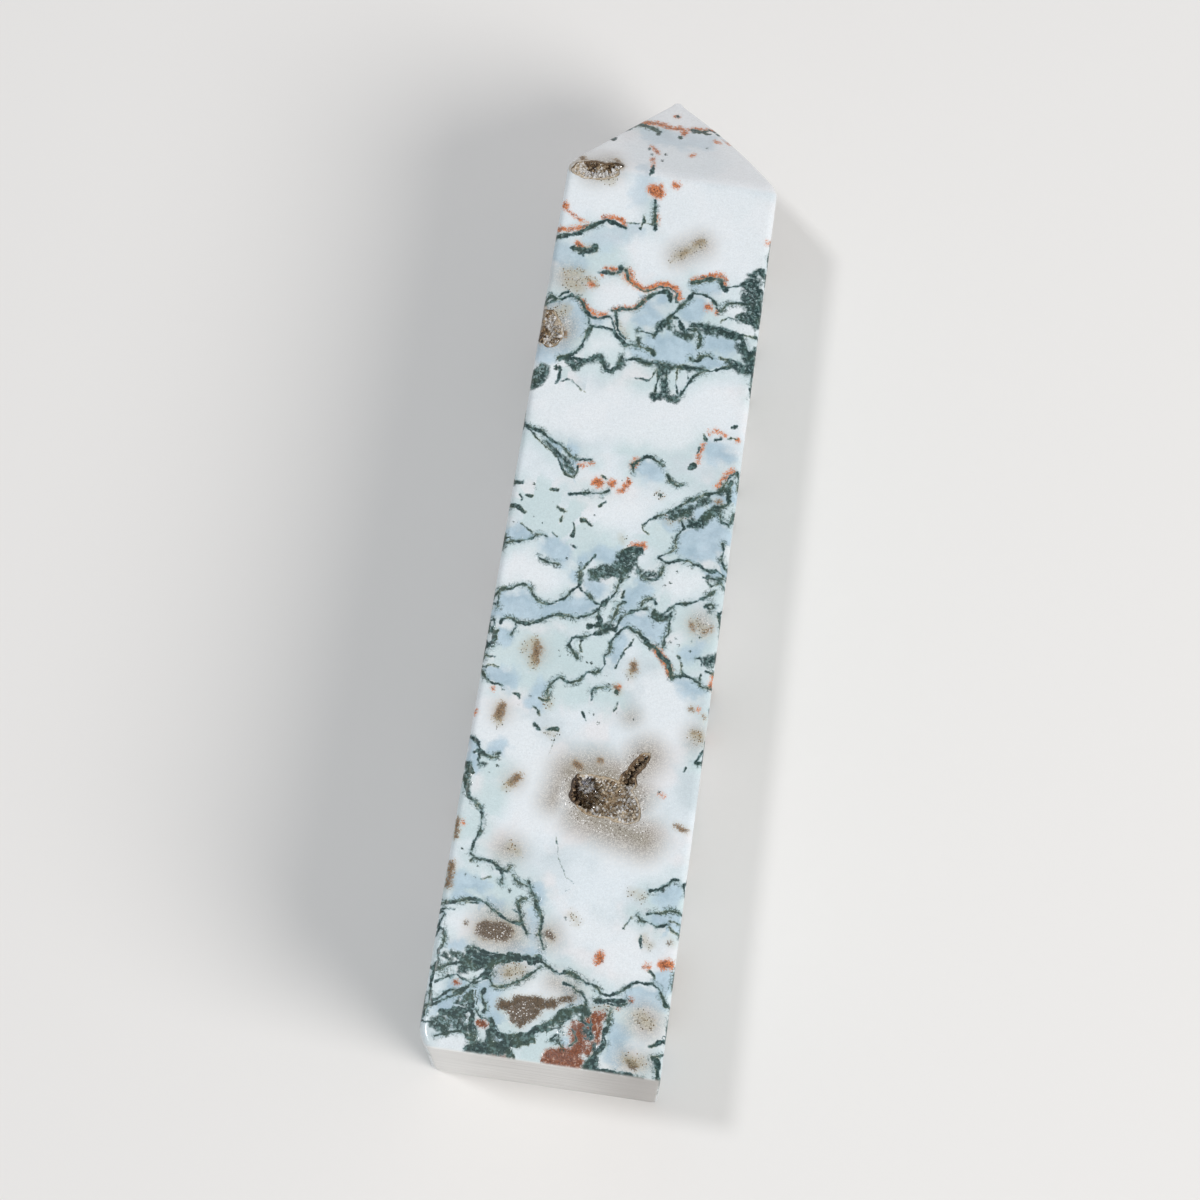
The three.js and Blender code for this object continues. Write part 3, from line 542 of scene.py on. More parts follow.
# Short specks of the same moss, each a point: across, along and size
moss_specks = [
    (-3.2, 133.7, 0.35), (0, 133.6, 0.4), (-0.9, 138.1, 0.3), (-9.3, 131.4, 0.5), (4, 132.2, 0.2),
    (-4, 130.3, 0.25), (-3.5, 129.2, 0.2), (-1.6, 129.6, 0.25), (-1.9, 128.2, 0.25),
    (-12, 95.5, 0.4), (9.9, 88.3, 0.25), (11.3, 88.5, 0.25), (8.5, 84.2, 0.45), (4.8, 79.6, 0.3),
    (-12.5, 78.6, 0.22), (-12.3, 77.9, 0.12), (-12, 74.1, 0.18), (-14.5, 72.8, 0.18),
    (-13.8, 73.1, 0.12), (-10.6, 73.4, 0.12), (-4.8, 73.4, 0.14), (-3.7, 75.4, 0.16),
    (-0.6, 80.9, 0.1), (-15.4, 73.9, 0.12), (-9.5, 76.4, 0.1),
    (-6.5, 68.9, 0.2), (7.2, 67, 0.2), (8, 67.6, 0.2), (8.7, 69.2, 0.2), (-2.4, 63.9, 0.35),
    (-2.3, 55.5, 0.18), (-1.6, 54.9, 0.18), (-1, 54.9, 0.18), (-4.4, 55.5, 0.15), (-5.6, 56, 0.15),
    (-5.5, 55.3, 0.15), (-10.7, 55.1, 0.15), (-13.7, 55.7, 0.15), (8.4, 59, 0.35), (6.5, 61.2, 0.2),
    (5.8, 62.4, 0.2), (12, 59.9, 0.18), (12, 58.5, 0.18), (13.1, 60.6, 0.18), (9.2, 59.4, 0.18),
    (10.3, 59.1, 0.15), (9.6, 58.1, 0.15), (9.2, 57.3, 0.18), (9.8, 60, 0.15), (1.7, 52.4, 0.15),
    (1.2, 53.4, 0.15), (5.8, 48, 0.15), (-8.6, 49.2, 0.2), (-9.9, 47.8, 0.12), (-5.5, 44.2, 0.15),
    (-4.5, 43.7, 0.18), (0.4, 47.9, 0.2), (-0.3, 48.2, 0.12), (1.1, 46.8, 0.22), (3.5, 48.6, 0.15),
    (-11.5, 39, 0.25), (-13.5, 39, 0.25), (-12.5, 38, 0.15), (-13.8, 38.4, 0.15),
    (10.7, 38.6, 0.2), (-7.3, 22.4, 0.3), (-12, 25.1, 0.2), (-12.2, 23.5, 0.15), (-13.5, 23.7, 0.2),
    (-14.5, 27.1, 0.2), (0.7, 19.8, 0.2), (13, 25.5, 0.35), (-11, 13.5, 0.4), (-5.9, 13.7, 0.6),
    (15.9, 1.9, 0.35), (6.9, 0.9, 0.7), (2.9, 51.4, 0.4), (-12.4, 49.5, 0.2),
]

# Areas of one colour on the upper face, drawn as broad strokes in the same way
moss_areas = [
    (0.5, 12.8, 112.5, 14, 113.3, 14.8, 112.8), (0.9, 12.6, 111, 13.4, 110.6, 14.2, 110),
    (0.8, 12.6, 109.4, 14.2, 108.6, 14.6, 107), (0.7, 13.2, 108.6, 13.6, 107.2, 12.2, 106.3),
    (0.5, 13.2, 106.2, 14.8, 105.6), (0.45, 1.2, 103, 2, 104.2, 2.8, 103.6),
    (0.4, 3.6, 103, 5.4, 102.4), (0.4, 7.6, 103.9, 9.2, 103.4),
    (0.5, 12.6, 102.4, 13.6, 101, 14.8, 99.8), (0.7, 12.6, 99.3, 14.6, 99),
    (0.35, 5.6, 104.3, 7.2, 104), (0.6, -10.2, 96.6, -9.3, 95.9, -8.8, 96.6),
    (0.35, -8, 97, -7, 97.4), (0.6, 2, 93.4, 3.4, 94, 3, 95.6), (0.5, 2.2, 96.8, 3.2, 97.4),
    (0.45, 4, 93.5, 5, 93.4), (0.35, -3, 97.4, -3.2, 98.2), (1.0, -14.6, 93.4, -13.8, 94.8),
    (0.5, -15, 92.4, -14, 93), (0.35, -1.4, 100.6, -1.2, 101.2), (0.5, 10.2, 79.2, 11.4, 79.8),
    (0.5, 8.2, 77.4, 9.4, 78.4), (0.5, 13, 81.3, 13.8, 81.8), (1.3, 0.8, 68.4, 1.6, 69.2),
    (0.9, -2.4, 67.2, -1, 68), (0.5, 0.4, 70.2, 2.6, 70.4), (0.6, -0.4, 59.9, 0.8, 60.2),
    (0.4, 6.6, 62.9, 8, 62.6), (0.35, -15.6, 38.4, -15.2, 37.6), (0.45, -15.4, 37.4, -15.1, 36),
    (0.3, -13.9, 38.9, -13.3, 39), (0.5, -13.4, 12.9, -12, 12.5), (0.6, -11.9, 11.2, -11.3, 12.4),
    (0.5, -8.6, 13.2, -7.8, 12.8), (0.7, -13.7, 4, -13.4, 3), (0.6, -11.4, 4.1, -10.6, 3.2),
    (0.9, -8.8, 0.9, -5, 1.2), (0.55, -4.8, 2.2, -2.6, 2.4), (0.7, 6.6, 0.6, 7.2, 1.4),
    (0.45, 1.4, 6, 2.2, 6.9), (0.4, 2.9, 7.3, 3.6, 7.6), (0.4, 4.8, 7.7, 5.4, 7.5),
    (0.35, -14.6, 12.6, -13.8, 12), (0.7, -11.2, 13.6, -10.2, 12.9, -8.6, 13),
    (0.6, -11.9, 11, -10.6, 11.6, -8.6, 12.2), (0.35, -8.4, 12.6, -8.3, 11.4),
    (0.45, -10.6, 7.4, -10.2, 6.2), (0.4, -11.8, 6.6, -11, 6.4), (0.9, -14.2, 3.4, -13, 3.2),
    (0.4, 5.4, 5.2, 6.4, 4.8), (0.4, 4.8, 6.8, 5.4, 8), (0.3, 6.9, 3.6, 7.2, 3),
    (0.5, -12.6, 4.6, -10.6, 4.8), (0.35, -12, 3.6, -10.4, 3), (0.6, -9.4, 3.4, -9, 2),
    (0.6, -6.9, 3.2, -6.8, 2), (0.7, -9.2, 0.7, -7.6, 0.8), (0.6, -6.6, 1.3, -4.4, 1.7),
    (0.5, -4.4, 2.6, -2.4, 2.8), (0.7, 7.2, 1.2, 7.4, 0.4), (0.4, 1.8, 6.3, 2.8, 6.8),
    (0.4, 3.4, 7.6, 5, 7.8), (0.35, 15.4, 2.8, 15.6, 2.2), (0.6, 12.8, 111.6, 13.8, 111.8),
    (0.6, 14, 107.6, 14.4, 105.6), (0.5, 8, 104.4, 10, 103.8, 12, 103.6),
    (0.6, 1.4, 103.4, 2.4, 104.4), (0.5, 4, 102.8, 5.6, 102.6),
    (0.4, -7.4, 97.4, -6, 97.8, -5.2, 96.8), (0.5, -3.2, 98, -3.4, 97),
    (0.35, -1, 98.1, 3, 98, 8, 98.1), (0.5, 11.6, 99.6, 14, 99.2),
    (0.7, 9.8, 76.2, 10.8, 76.4, 11.8, 77.8, 12.8, 78.6), (0.3, -11.4, 84.3, -9.6, 83),
    (0.5, -8.8, 82.6, -7.6, 81), (0.6, 7, 77, 9, 77.8), (0.6, -2.8, 67.6, -2.1, 66.8),
    (0.6, -1.4, 67.4, 0.2, 67.9), (0.8, 1, 69, 2.4, 69.8), (0.6, 1, 70.6, 3, 71.2),
    (0.4, 3.4, 68.6, 4.6, 68.2, 6.2, 68.6), (0.35, 13, 69, 14.6, 68.6),
]

# Orange iron stain, bright
rust_areas = [
    (0.45, -5.6, 135.5, -4, 135.9, -2.5, 135.8, -1.8, 135.5),
    (0.35, -0.4, 135.7, 0.5, 135.2, 0.4, 134.4),
    (0.3, -1.8, 135.4, -0.6, 135.4, 0.6, 135.3, 1.8, 135.8), (0.2, -3.8, 130.9, -2.6, 129.6),
    (0.2, -3.2, 128.4, -3, 126.6), (0.3, 1.6, 135.9, 3, 136, 4.4, 136.4), (0.35, -1, 138),
    (0.25, 1.9, 130, 2.4, 130.4), (0.2, 5, 133.9, 5.6, 133.7), (0.85, -2.5, 123, -1.6, 122.7),
    (0.4, -1.5, 123.6), (0.55, 0.6, 124.1), (0.15, -1.2, 119.3, -1.1, 118.2), (0.5, -14.3, 118.9),
    (0.12, -13.9, 118.2, -12.5, 117.4, -10.7, 116.7), (0.3, -14.8, 115.4, -13, 115.6, -11.4, 116),
    (0.25, -8.7, 118, -7.4, 118.2, -6, 117.9, -5.7, 117.4), (0.35, -11.8, 113.7, -11, 113.1),
    (0.3, -7.2, 110.7, -5.6, 110.6), (0.25, -4, 111, -3.6, 110.2),
    (0.3, 5, 110.9, 6.5, 111.4, 8.2, 112.1, 8.9, 112, 9.4, 110.9), (0.4, -9, 108.1),
    (0.2, -7.7, 109.6),
    (0.38, -4.5, 110, -3, 109, -1.5, 108.4, -0.6, 108.9, 0.5, 109.5, 1.6, 109.6, 2.6, 109.3,
     3.1, 108.5, 3.4, 107.9),
    (0.3, -9.8, 105.4, -9, 104.6, -8.2, 104, -7.3, 103.8, -6.4, 104.1),
    (0.18, -5.2, 105.0, -4, 105.4, -2.6, 105.6, -1.9, 106.2, -1.3, 107), (0.5, 7.6, 107.2),
    (0.3, 8.8, 106.6), (0.2, 10.4, 89.4, 11.1, 89.9, 12.4, 89.3), (0.25, 14.3, 88.8),
    (0.2, 9.7, 87.6, 9.3, 86, 9.2, 84.9), (0.2, -6.8, 82.2, -5, 82.7),
    (0.62, -4.1, 80.1, -3.6, 80.1), (0.55, -2, 80.3), (0.3, -0.9, 79.3, -0.1, 79.9, 0.3, 81),
    (0.4, 0.5, 83.2, 0.9, 84), (0.25, 12.4, 81.9, 12.9, 82.8, 13.4, 83.8, 14.2, 84.6),
    (0.45, 2.2, 71.8, 3.6, 72.2), (0.3, 15.4, 54, 15.7, 55.6), (0.3, 9.2, 55.8, 9.6, 54.9),
    (0.2, 14.2, 50.7), (0.25, -13.8, 49.5), (0.25, 3.2, 52.3),
    (0.45, 7.3, 58.1, 8.6, 56.9, 9.5, 55.6), (0.6, 5.9, 14.9, 6, 15.6),
    (0.7, 14.6, 15.5, 15.3, 15.7), (0.4, 12.4, 15), (1.0, 1.3, 0.9, 3.4, 1.1, 5, 0.9),
    (0.6, 1.2, 1.6, 3.4, 2.2), (0.9, 4.4, 2, 5.2, 3.2), (0.8, 4.6, 4, 5, 5.6),
    (0.7, 5.8, 4.4, 6.4, 6), (0.7, 6, 6.4, 7, 7), (0.5, 7.2, 5.8, 7.3, 4.2),
    (0.5, 6.2, 2.4, 6.8, 3.6), (0.4, 3.8, 4.6, 4, 6), (0.5, 5.6, 7.2, 7.6, 7.6),
    (0.25, -6.8, 0.25, -4.4, 0.35), (0.4, -12.4, 9.1), (0.5, -8.6, 4.2, -7.8, 4.2),
    (0.25, 11, 10.3), (0.2, 9.5, 9), (0.35, -15.7, 45.9), (0.25, -14.9, 30.6),
    (0.2, 10.9, 38.3, 11.3, 38.2),
]

# Brown iron stain and brown-walled pits
iron_areas = [
    (0.5, -12.9, 126.4, -12.6, 125.6), (0.4, -8.2, 126.9, -7.5, 126),
    (0.25, 2.8, 114.2, 3.4, 114.8), (0.3, 4.6, 116, 5.3, 116.4), (0.4, -11, 113.1, -9.6, 113.1),
    (0.45, -14.6, 102.6, -14.8, 100, -14, 99.2), (0.35, -12.2, 101, -11.6, 100.4),
    (0.35, -9.3, 108.6, -8.6, 108), (0.4, 12.9, 79.8), (0.5, -8.8, 56.6, -8.6, 54),
    (0.35, -8.2, 55.9), (0.5, 4.7, 55.6, 4.8, 54.8), (0.4, 2.9, 52.1, 3.1, 51.5),
    (0.6, -12.3, 47.2, -12.4, 45.7), (0.5, -8.5, 37.9, -9.3, 36.9), (0.22, 14.2, 47.4, 15, 47.2),
    (0.3, -8.6, 1.3, -7.6, 1), (0.35, -15.7, 30.9, -15.6, 28.7), (0.5, -15.5, 24.8, -15.6, 21.9),
    (1.2, -9.8, 16.6, -7.2, 16.8), (0.4, -1.3, 17.4, -0.7, 17), (0.25, -12.4, 17.2),
    (0.3, 15.1, 18.6), (1.1, -3.7, 5.8, -3, 6.8, -2, 7.6), (0.9, -4.6, 6.9, -3, 7.4),
    (0.8, -3.9, 5.6, -3.2, 5.2), (0.7, -6, 7.1, -5.2, 7), (0.9, -4, 7.6, -1.4, 8),
    (0.6, -0.9, 7.8, 0.8, 8.3), (0.35, 0.8, 8.4, 2, 8.9, 3.3, 9.3), (0.8, -2.8, 5.7, -1.4, 6.9),
    (0.4, 13.4, 50.6), (0.5, 12, 2, 12.7, 1.5), (0.3, -5.8, 11.3), (0.3, 11.6, 62.4, 12, 61.6),
    (0.25, 13.4, 61.3, 14.4, 62), (0.3, 13.6, 34.4, 15, 34), (0.35, -1.2, 41, -0.4, 40.4),
    (0.3, 2.1, 41.7), (0.25, 15.2, 49.8),
]

# Bluish, clearer chalcedony
blue_areas = [
    (1.2, -9.5, 114.6, -6.6, 115.6, -4, 117), (0.8, -4.2, 121.4, -3.6, 124.6, -3.8, 126),
    (1.6, -13.5, 112, -11.8, 111), (1.4, -3.6, 133.4, 0, 133.2, 3.6, 134),
    (1.3, -13.4, 104.2, -12, 103.8), (2.0, -12.4, 100.5, -11, 103.4),
    (0.9, -0.8, 106.2, 0.4, 104.6, -1.6, 104), (1.0, 1.1, 107.4), (1.3, 6.4, 107.2, 5, 105.8),
    (0.7, -6.8, 103, -7.6, 102.7), (1.3, 1, 101.2, 3.4, 101.2, 5.2, 100.6, 3, 99.4),
    (1.2, 8.6, 102.2, 11.4, 102.2), (0.8, -1, 99.2, 2, 99), (1.0, 7.6, 99.2, 10.6, 99.4),
    (1.0, 6, 110, 8, 110.3), (1.5, -14, 98, -12, 99), (0.9, -8.7, 84.2, -11.2, 84.6),
    (1.3, -9.2, 82.6, -7.8, 81.6), (1.1, 2, 83.2, 3.4, 82.8), (1.0, 11, 87, 13.2, 86.4),
    (1.4, 7.2, 76.4, 9.4, 77.6), (2.2, 10.6, 73.4, 12.6, 74.6), (1.3, 12, 78, 14.2, 80.6),
    (1.4, -13.6, 70.8, -12.2, 71.8), (1.2, -8.8, 70.4, -7.2, 69.4), (0.8, -4.2, 69, -4.6, 66.8),
    (1.0, -2.6, 70.2, 0, 69.6), (1.6, -14, 61, -11.6, 61.8), (1.5, -9, 61.3, -5.6, 62),
    (1.1, -3.4, 62.2, -2, 63.4), (1.5, 3, 61.2, 7, 61), (1.0, 2.2, 58.6, 2.2, 56),
    (1.2, 4, 66, 1.6, 62.6), (0.9, -2.6, 65.6, -1.4, 65), (1.0, -14.2, 57.2, -13, 57),
    (1.2, -12, 51, -14.4, 51.4), (1.0, -7.2, 50, -7.8, 48.4), (0.8, 11.8, 57.8, 12.8, 58.6),
    (0.9, 11.6, 54, 13.8, 53), (0.9, -14.8, 41.2, -14.9, 38.4), (0.8, -12.6, 40.8, -11.6, 41.4),
    (0.7, -3.7, 23, -3.2, 20.8, -3.2, 17), (1.0, -14.4, 22.6, -11.4, 22.4),
    (0.8, -14, 20.8, -8.4, 20.2), (0.9, 12.6, 21.4, 15.4, 22), (0.9, 13.4, 24.8, 14.8, 25.4),
    (1.2, 15, 13.4), (0.45, -13.8, 14, -12.6, 14.2), (0.6, -6, 14.6, -2.4, 14.6),
    (1.2, -14, 6, -12, 4.6), (0.9, -8, 7.2, -7.6, 11.4), (0.8, 7, 8.8), (1.3, 10, 5.4, 10.2, 2.6),
    (0.8, 3, 3), (0.8, -11.8, 9.2, -13.8, 7.2), (1.2, -6.8, 4.9, -6.2, 3),
    (1.0, 3.4, 9.2, 2.2, 10.9), (0.9, -9.2, 8.8, -8.4, 9.6), (0.7, -9.4, 7.2),
    (0.9, -13.4, 8.4, -12.2, 9), (1.0, -12.6, 6.9, -11, 7.8), (0.8, -14.4, 5.8, -13.6, 5.2),
    (1.2, 11.4, 10.6, 14.4, 11),
]

# Grey-brown haze of fine crystals round the hollows and drusy spots
haze_areas = [
    (1.7, -3.4, 35.4, -2.8, 38.6), (2.9, -1.5, 39.4, 1.6, 40, 4.4, 39.8),
    (3.8, 0.2, 37.8, 2.6, 38.2, 6.2, 37.6), (2.6, 8.2, 43.2, 6.6, 40.6),
    (2.9, 0.8, 34.2, 4, 33.2, 9.4, 32), (0.9, 0.4, 11.1, 3.2, 10.2), (0.9, -6.6, 11.5, -4, 12),
    (1.2, -12.6, 108.6, -11, 108.2), (2.0, -10.8, 125, -9.4, 125.6), (1.5, 2.6, 114.2, 5.2, 116),
    (2.4, -13.6, 101.8, -12.8, 101), (1.4, 12.9, 62.4), (1.3, 14.6, 46.9),
    (2.6, -8.9, 16.8, -6.8, 16.8), (1.9, 12.9, 7.7, 13.3, 7.6), (1.0, 11.4, 2.4, 13.6, 2),
    (1.4, -1.2, 17.2), (1.5, -8.6, 28, -8, 28), (0.9, -12.2, 46.4), (0.9, -8.7, 55.2),
    (0.8, -8.9, 37.4), (1.0, 11.8, 1.8), (0.8, 5.4, 48.2), (1.2, 9.6, 32.4),
]

# Faintly green, half-clear chalcedony between the veins
mint_areas = [
    (2.8, -12, 99.6, -2, 100.4, 8, 101, 13, 100), (2.0, 4, 106.6, 11, 106),
    (1.8, -11, 110.6, -7, 112), (3.0, -12.6, 76, -7, 74, -3, 71), (2.4, 6, 74, 12, 69),
    (2.6, -13, 55.6, -4, 55, 0, 56.6), (2.4, 3, 65, 10, 63), (2.0, 12, 57, 13, 60),
    (1.5, -11, 51.4, -4, 50.6, 3, 50.4), (1.8, -13.6, 39.6, -11.6, 39), (1.8, -13.4, 30, -12, 35),
    (2.2, -13, 22, -8, 22, -5, 18), (2.0, 12, 22, 15, 24), (2.6, -12, 9, -6, 4, 0, 2),
    (1.4, 3, 11, 6, 11), (1.8, 9, 4, 11, 8), (2.0, 0, 86, 9, 88.6), (1.8, -13.6, 95, -10, 94),
    (1.6, 0, 95, 4, 95.6),
]

# Milk-white, dense chalcedony
white_areas = [
    (3.0, -11, 90, -3, 90, 5, 90), (2.4, 7.6, 91.6, 11, 93), (2.0, -13, 120.6, -8, 121),
    (1.6, -6, 106, -3.6, 107.2), (1.0, -5.6, 100, -7, 99.6), (0.7, 10.6, 107.4, 12, 107.2),
    (0.7, 11.6, 105, 14.2, 104.8), (1.4, -12, 66.6, -9, 66), (1.0, -14, 65.8, -13, 66.4),
    (1.4, 9.4, 67.6, 11.4, 68.4), (1.8, 3, 19, 6, 18), (1.6, 6, 29, 11, 29.6),
    (1.0, -13, 1, -10.4, 1.2), (0.7, -14.6, 17.4, -12.6, 17.2), (1.3, -11, 0.8),
    (2.0, 9, 17.2, 11, 14.8), (1.1, -2, 9.9, -0.4, 10.4, 0.6, 9.8),
    (0.6, -4, 8.7, -2.4, 9.2, -1, 9.6), (3.0, -3, 130, 3, 129), (2.5, -13.4, 44.2, -9, 43),
    (2.6, 10, 48, 9, 52), (2.4, -6, 40, -5.6, 33), (1.4, -2, 75.6, 2, 77.2),
    (2.4, 8.6, 113.8, 12, 117), (3.6, 2, 120.6, 11, 120), (2.6, -10, 121.6, -7, 119.6),
    (1.6, 1, 113, -2, 114),
]

# Scattered olive and brown grains in the white
pepper_areas = [
    (0.5, 2.4, 113.9, 3.8, 115, 5.4, 116.3), (0.2, 1.4, 112.8, 2.6, 114.6),
    (0.6, -12.6, 109.2, -10.8, 109.5), (0.8, -12, 107.8, -10.6, 107.4),
    (0.5, -10.4, 108.6, -8.6, 108.4), (0.7, -4.4, 110.4, -3.8, 109.4),
    (0.5, -3.4, 101.6, -4.6, 102.8), (0.3, 12.1, 62.6, 13.4, 62), (0.6, 14.2, 47, 15, 46.8),
    (0.6, 9, 77.4, 6.6, 76.2), (0.5, -6.2, 49, -5.8, 48.4), (0.4, -12.5, 45.2, -12.2, 44.8),
    (0.5, -5.4, 44.6, -4.6, 44.4), (0.3, 6.4, 39.6), (0.3, 0.3, 73, 0.9, 72.4),
    (0.3, 4.6, 79.8, 5.1, 79.4), (0.4, -9.6, 36.8, -10, 36.2), (0.5, -9.2, 54.2, -8.7, 53.4),
    (0.6, -10.4, 55.6, -9.4, 56.8), (0.4, 4.2, 54.3, 4.6, 53.9), (0.8, -13, 103.4, -12, 104),
    (0.6, -10.2, 124, -8.4, 123.6), (0.5, 9, 24.6, 10.4, 24.2), (0.5, 12.4, 17.8, 11.4, 18.6),
    (0.5, 2.2, 19.6, 1.4, 20.4), (0.5, -8, 28.4, -7, 27.8), (0.8, -5.8, 11.6, -4.6, 11.9),
    (0.8, 12.6, 8.2, 13.8, 7.4), (0.6, 11.4, 2.4, 13.4, 2.2), (0.6, 6.4, 8.4, 8.6, 8.8),
]

# Patches whose surface is broken into small glittering crystals
druse_areas = [
    (1.4, -11.6, 125, -9, 125.4), (0.9, 2.2, 113.8, 4, 115, 5.4, 116.4),
    (0.6, -7.6, 110.4, -5.6, 110.6), (1.7, -13.6, 101, -12.8, 102), (1.3, 12.6, 62.5, 13.2, 62.2),
    (1.1, 14.4, 47), (1.3, -9.4, 16.7, -7.2, 16.8), (0.9, 12.4, 7.8, 13.6, 7.4),
    (1.2, -4, 5.8, -2.6, 7), (0.6, 2.5, 5.4, 2.7, 3.2), (0.6, 4.2, 5.6, 4.4, 3.2),
    (0.5, 5.8, 5.4, 6, 2.8), (0.8, 1.2, 1.4, 4.6, 1.2), (0.6, 7.6, 43),
    (0.7, -10.6, 112.9, -9.8, 113.2), (0.6, -4.2, 110.2), (0.8, 13.6, 110.6, 14.2, 109),
    (0.7, 3, 108.8), (0.6, -14.4, 115.2, -13, 115.2), (0.7, -1, 17.2),
    (3.0, 0.4, 37.6, 2.6, 37.6, 6.2, 37.2), (1.6, 7.6, 42.6, 6.6, 40.6),
    (1.8, 0.8, 34.6, 4, 33.8, 8.6, 33.2),
]

# Veins go on over the edges: each line that ends at an edge of the upper face is carried down the
# side in a wandering line, and the rest of the sides get chance lines and areas of the same kinds.
side_bands = (
    (1.0, 20.0, 40), (20.0, 34.0, 10), (35.0, 43.0, 12), (49.0, 64.0, 12), (66.0, 84.0, 30),
    (84.0, 93.0, 4), (93.0, 113.0, 40), (113.0, 124.0, 10), (126.0, 138.0, 10),
)
line_sway = 0.55
line_straightening = 0.35
line_steps = (0.5, 1.1)
line_clear_of_edge = 0.1
first_along = 0.1
last_along = 139.0
edge_reach = 1.0
carried_sway = 0.25
carried_lengths = (5, 24)
branch_share = 0.6
branch_bend = 0.9
branch_width_share = 0.8
side_line_sway = 0.4
side_line_half_widths = (0.08, 0.12, 0.16, 0.24)
side_line_lengths = (3, 15)
line_gap = 1.5
area_gap = 1.2
area_slant = 0.5
pattern_seed = 40
chance = np.random.default_rng(pattern_seed)


def wandering_line(across, along, heading, length, half_width):
    """A vein that wanders from its start, keeping roughly to its heading."""
    points = [(across, along)]
    side = math.copysign(1, across)
    turn = heading
    while length > 0:
        turn += chance.normal(0, line_sway) + line_straightening * (heading - turn)
        step = chance.uniform(*line_steps)
        edge = upper_surface(min(max(along, 0), column_length)) + line_clear_of_edge
        across += step * math.cos(turn)
        across = side * max(side * across, edge)
        along = min(max(along + step * math.sin(turn), first_along), last_along)
        points.append((across, along))
        length -= step
    return (half_width, *np.ravel(points))


def carried_over_edges(lines):
    """The lines that carry on over an edge, some of them with a branch."""
    carried = []
    for line in lines:
        points = np.reshape(line[1:], (-1, 2))
        for across, along in (points[0], points[-1]):
            if abs(across) < upper_surface(along) - edge_reach or along > column_length:
                continue
            heading = 0.0 if across > 0 else math.pi
            heading += chance.normal(0, carried_sway)
            length = chance.uniform(*carried_lengths)
            carried.append(wandering_line(across, along, heading, length, line[0]))
            if chance.random() < branch_share:
                middle = carried[-1][1:][len(carried[-1]) // 4 * 2:]
                bent = heading + chance.choice((-branch_bend, branch_bend))
                half_width = line[0] * branch_width_share
                branch = wandering_line(middle[0], middle[1], bent, length / 2, half_width)
                carried.append(branch)
    return carried


def place_on_sides(along, gap):
    """A chance place across, on a side or on the lower face."""
    reach = upper_surface(min(along, column_length))
    return chance.uniform(reach + gap, 4 * reach - 1) * chance.choice((-1, 1))


def side_lines():
    lines = []
    for low, high, count in side_bands:
        for _ in range(count):
            along = chance.uniform(low, high)
            across = place_on_sides(along, line_gap)
            heading = chance.choice((0, math.pi)) + chance.normal(0, side_line_sway)
            half_width = chance.choice(side_line_half_widths)
            length = chance.uniform(*side_line_lengths)
            lines.append(wandering_line(across, along, heading, length, half_width))
    return lines


def side_areas(count, bands, half_widths, stretch):
    """Short broad strokes scattered over the sides and the lower face."""
    areas = []
    for _ in range(count):
        low, high = bands[chance.integers(len(bands))]
        along = chance.uniform(low, high)
        across = place_on_sides(along, area_gap)
        slide = chance.uniform(-stretch, stretch, 2)
        half_width = chance.uniform(*half_widths)
        end = (across + slide[0], along + slide[1] * area_slant)
        areas.append((half_width, across, along, *end))
    return areas


dark_bands = ((1, 15), (53, 62), (94, 112))
mixed_bands = ((1, 22), (34, 60), (64, 84), (94, 126))
mint_bands = ((1, 24), (36, 84), (94, 124))
blue_bands = ((1, 24), (36, 86), (94, 124))
milk_bands = ((16, 50), (60, 96), (104, 130))
side_patches = (
    (moss_areas, 110, dark_bands, (0.25, 0.8), 3.5),
    (mint_areas, 40, mint_bands, (1.5, 3.0), 6),
    (rust_areas, 46, mixed_bands, (0.2, 0.7), 1.8),
    (iron_areas, 34, mixed_bands, (0.35, 1.0), 1.2),
    (blue_areas, 60, blue_bands, (0.6, 1.8), 5),
    (haze_areas, 20, mixed_bands, (1.0, 2.4), 2),
    (white_areas, 46, milk_bands, (1.5, 3.5), 5),
    (druse_areas, 16, mixed_bands, (0.4, 1.0), 1.2),
    (pepper_areas, 40, mixed_bands, (0.3, 0.8), 1.2),
)
veins += carried_over_edges(list(veins)) + side_lines()
for areas, count, bands, half_widths, stretch in side_patches:
    areas.extend(side_areas(count, bands, half_widths, stretch))

# Where each vein and area lies on the mesh, painted as distances in millimetres
quarter_loss = 2 * edge_radius * (1 - math.cos(math.pi / 4))
least_half = 0.3
dot_length = 0.01


def unwrapped(points):
    """Across and along for points of the stone, with across carried on over the edges."""
    x, along, z = points.T
    share = np.clip((along - column_length) / tip_length, 0, 1)
    half = np.where(share > 0, shoulder_width / 2 * (1 - share), column_half(along))
    half = np.maximum(half, least_half)
    from_middle = x - apex_shift * share
    side = np.sign(from_middle) + (from_middle == 0)
    out = np.abs(from_middle) / half
    down = half - z
    on_top = z / half >= out
    below = -z / half > out
    across_side = half + down - quarter_loss
    across_below = 4 * half - 2 * quarter_loss - np.abs(from_middle)
    around = np.where(below, across_below, across_side)
    around = side * around + apex_shift * share
    return np.column_stack([np.where(on_top, x, around), along])


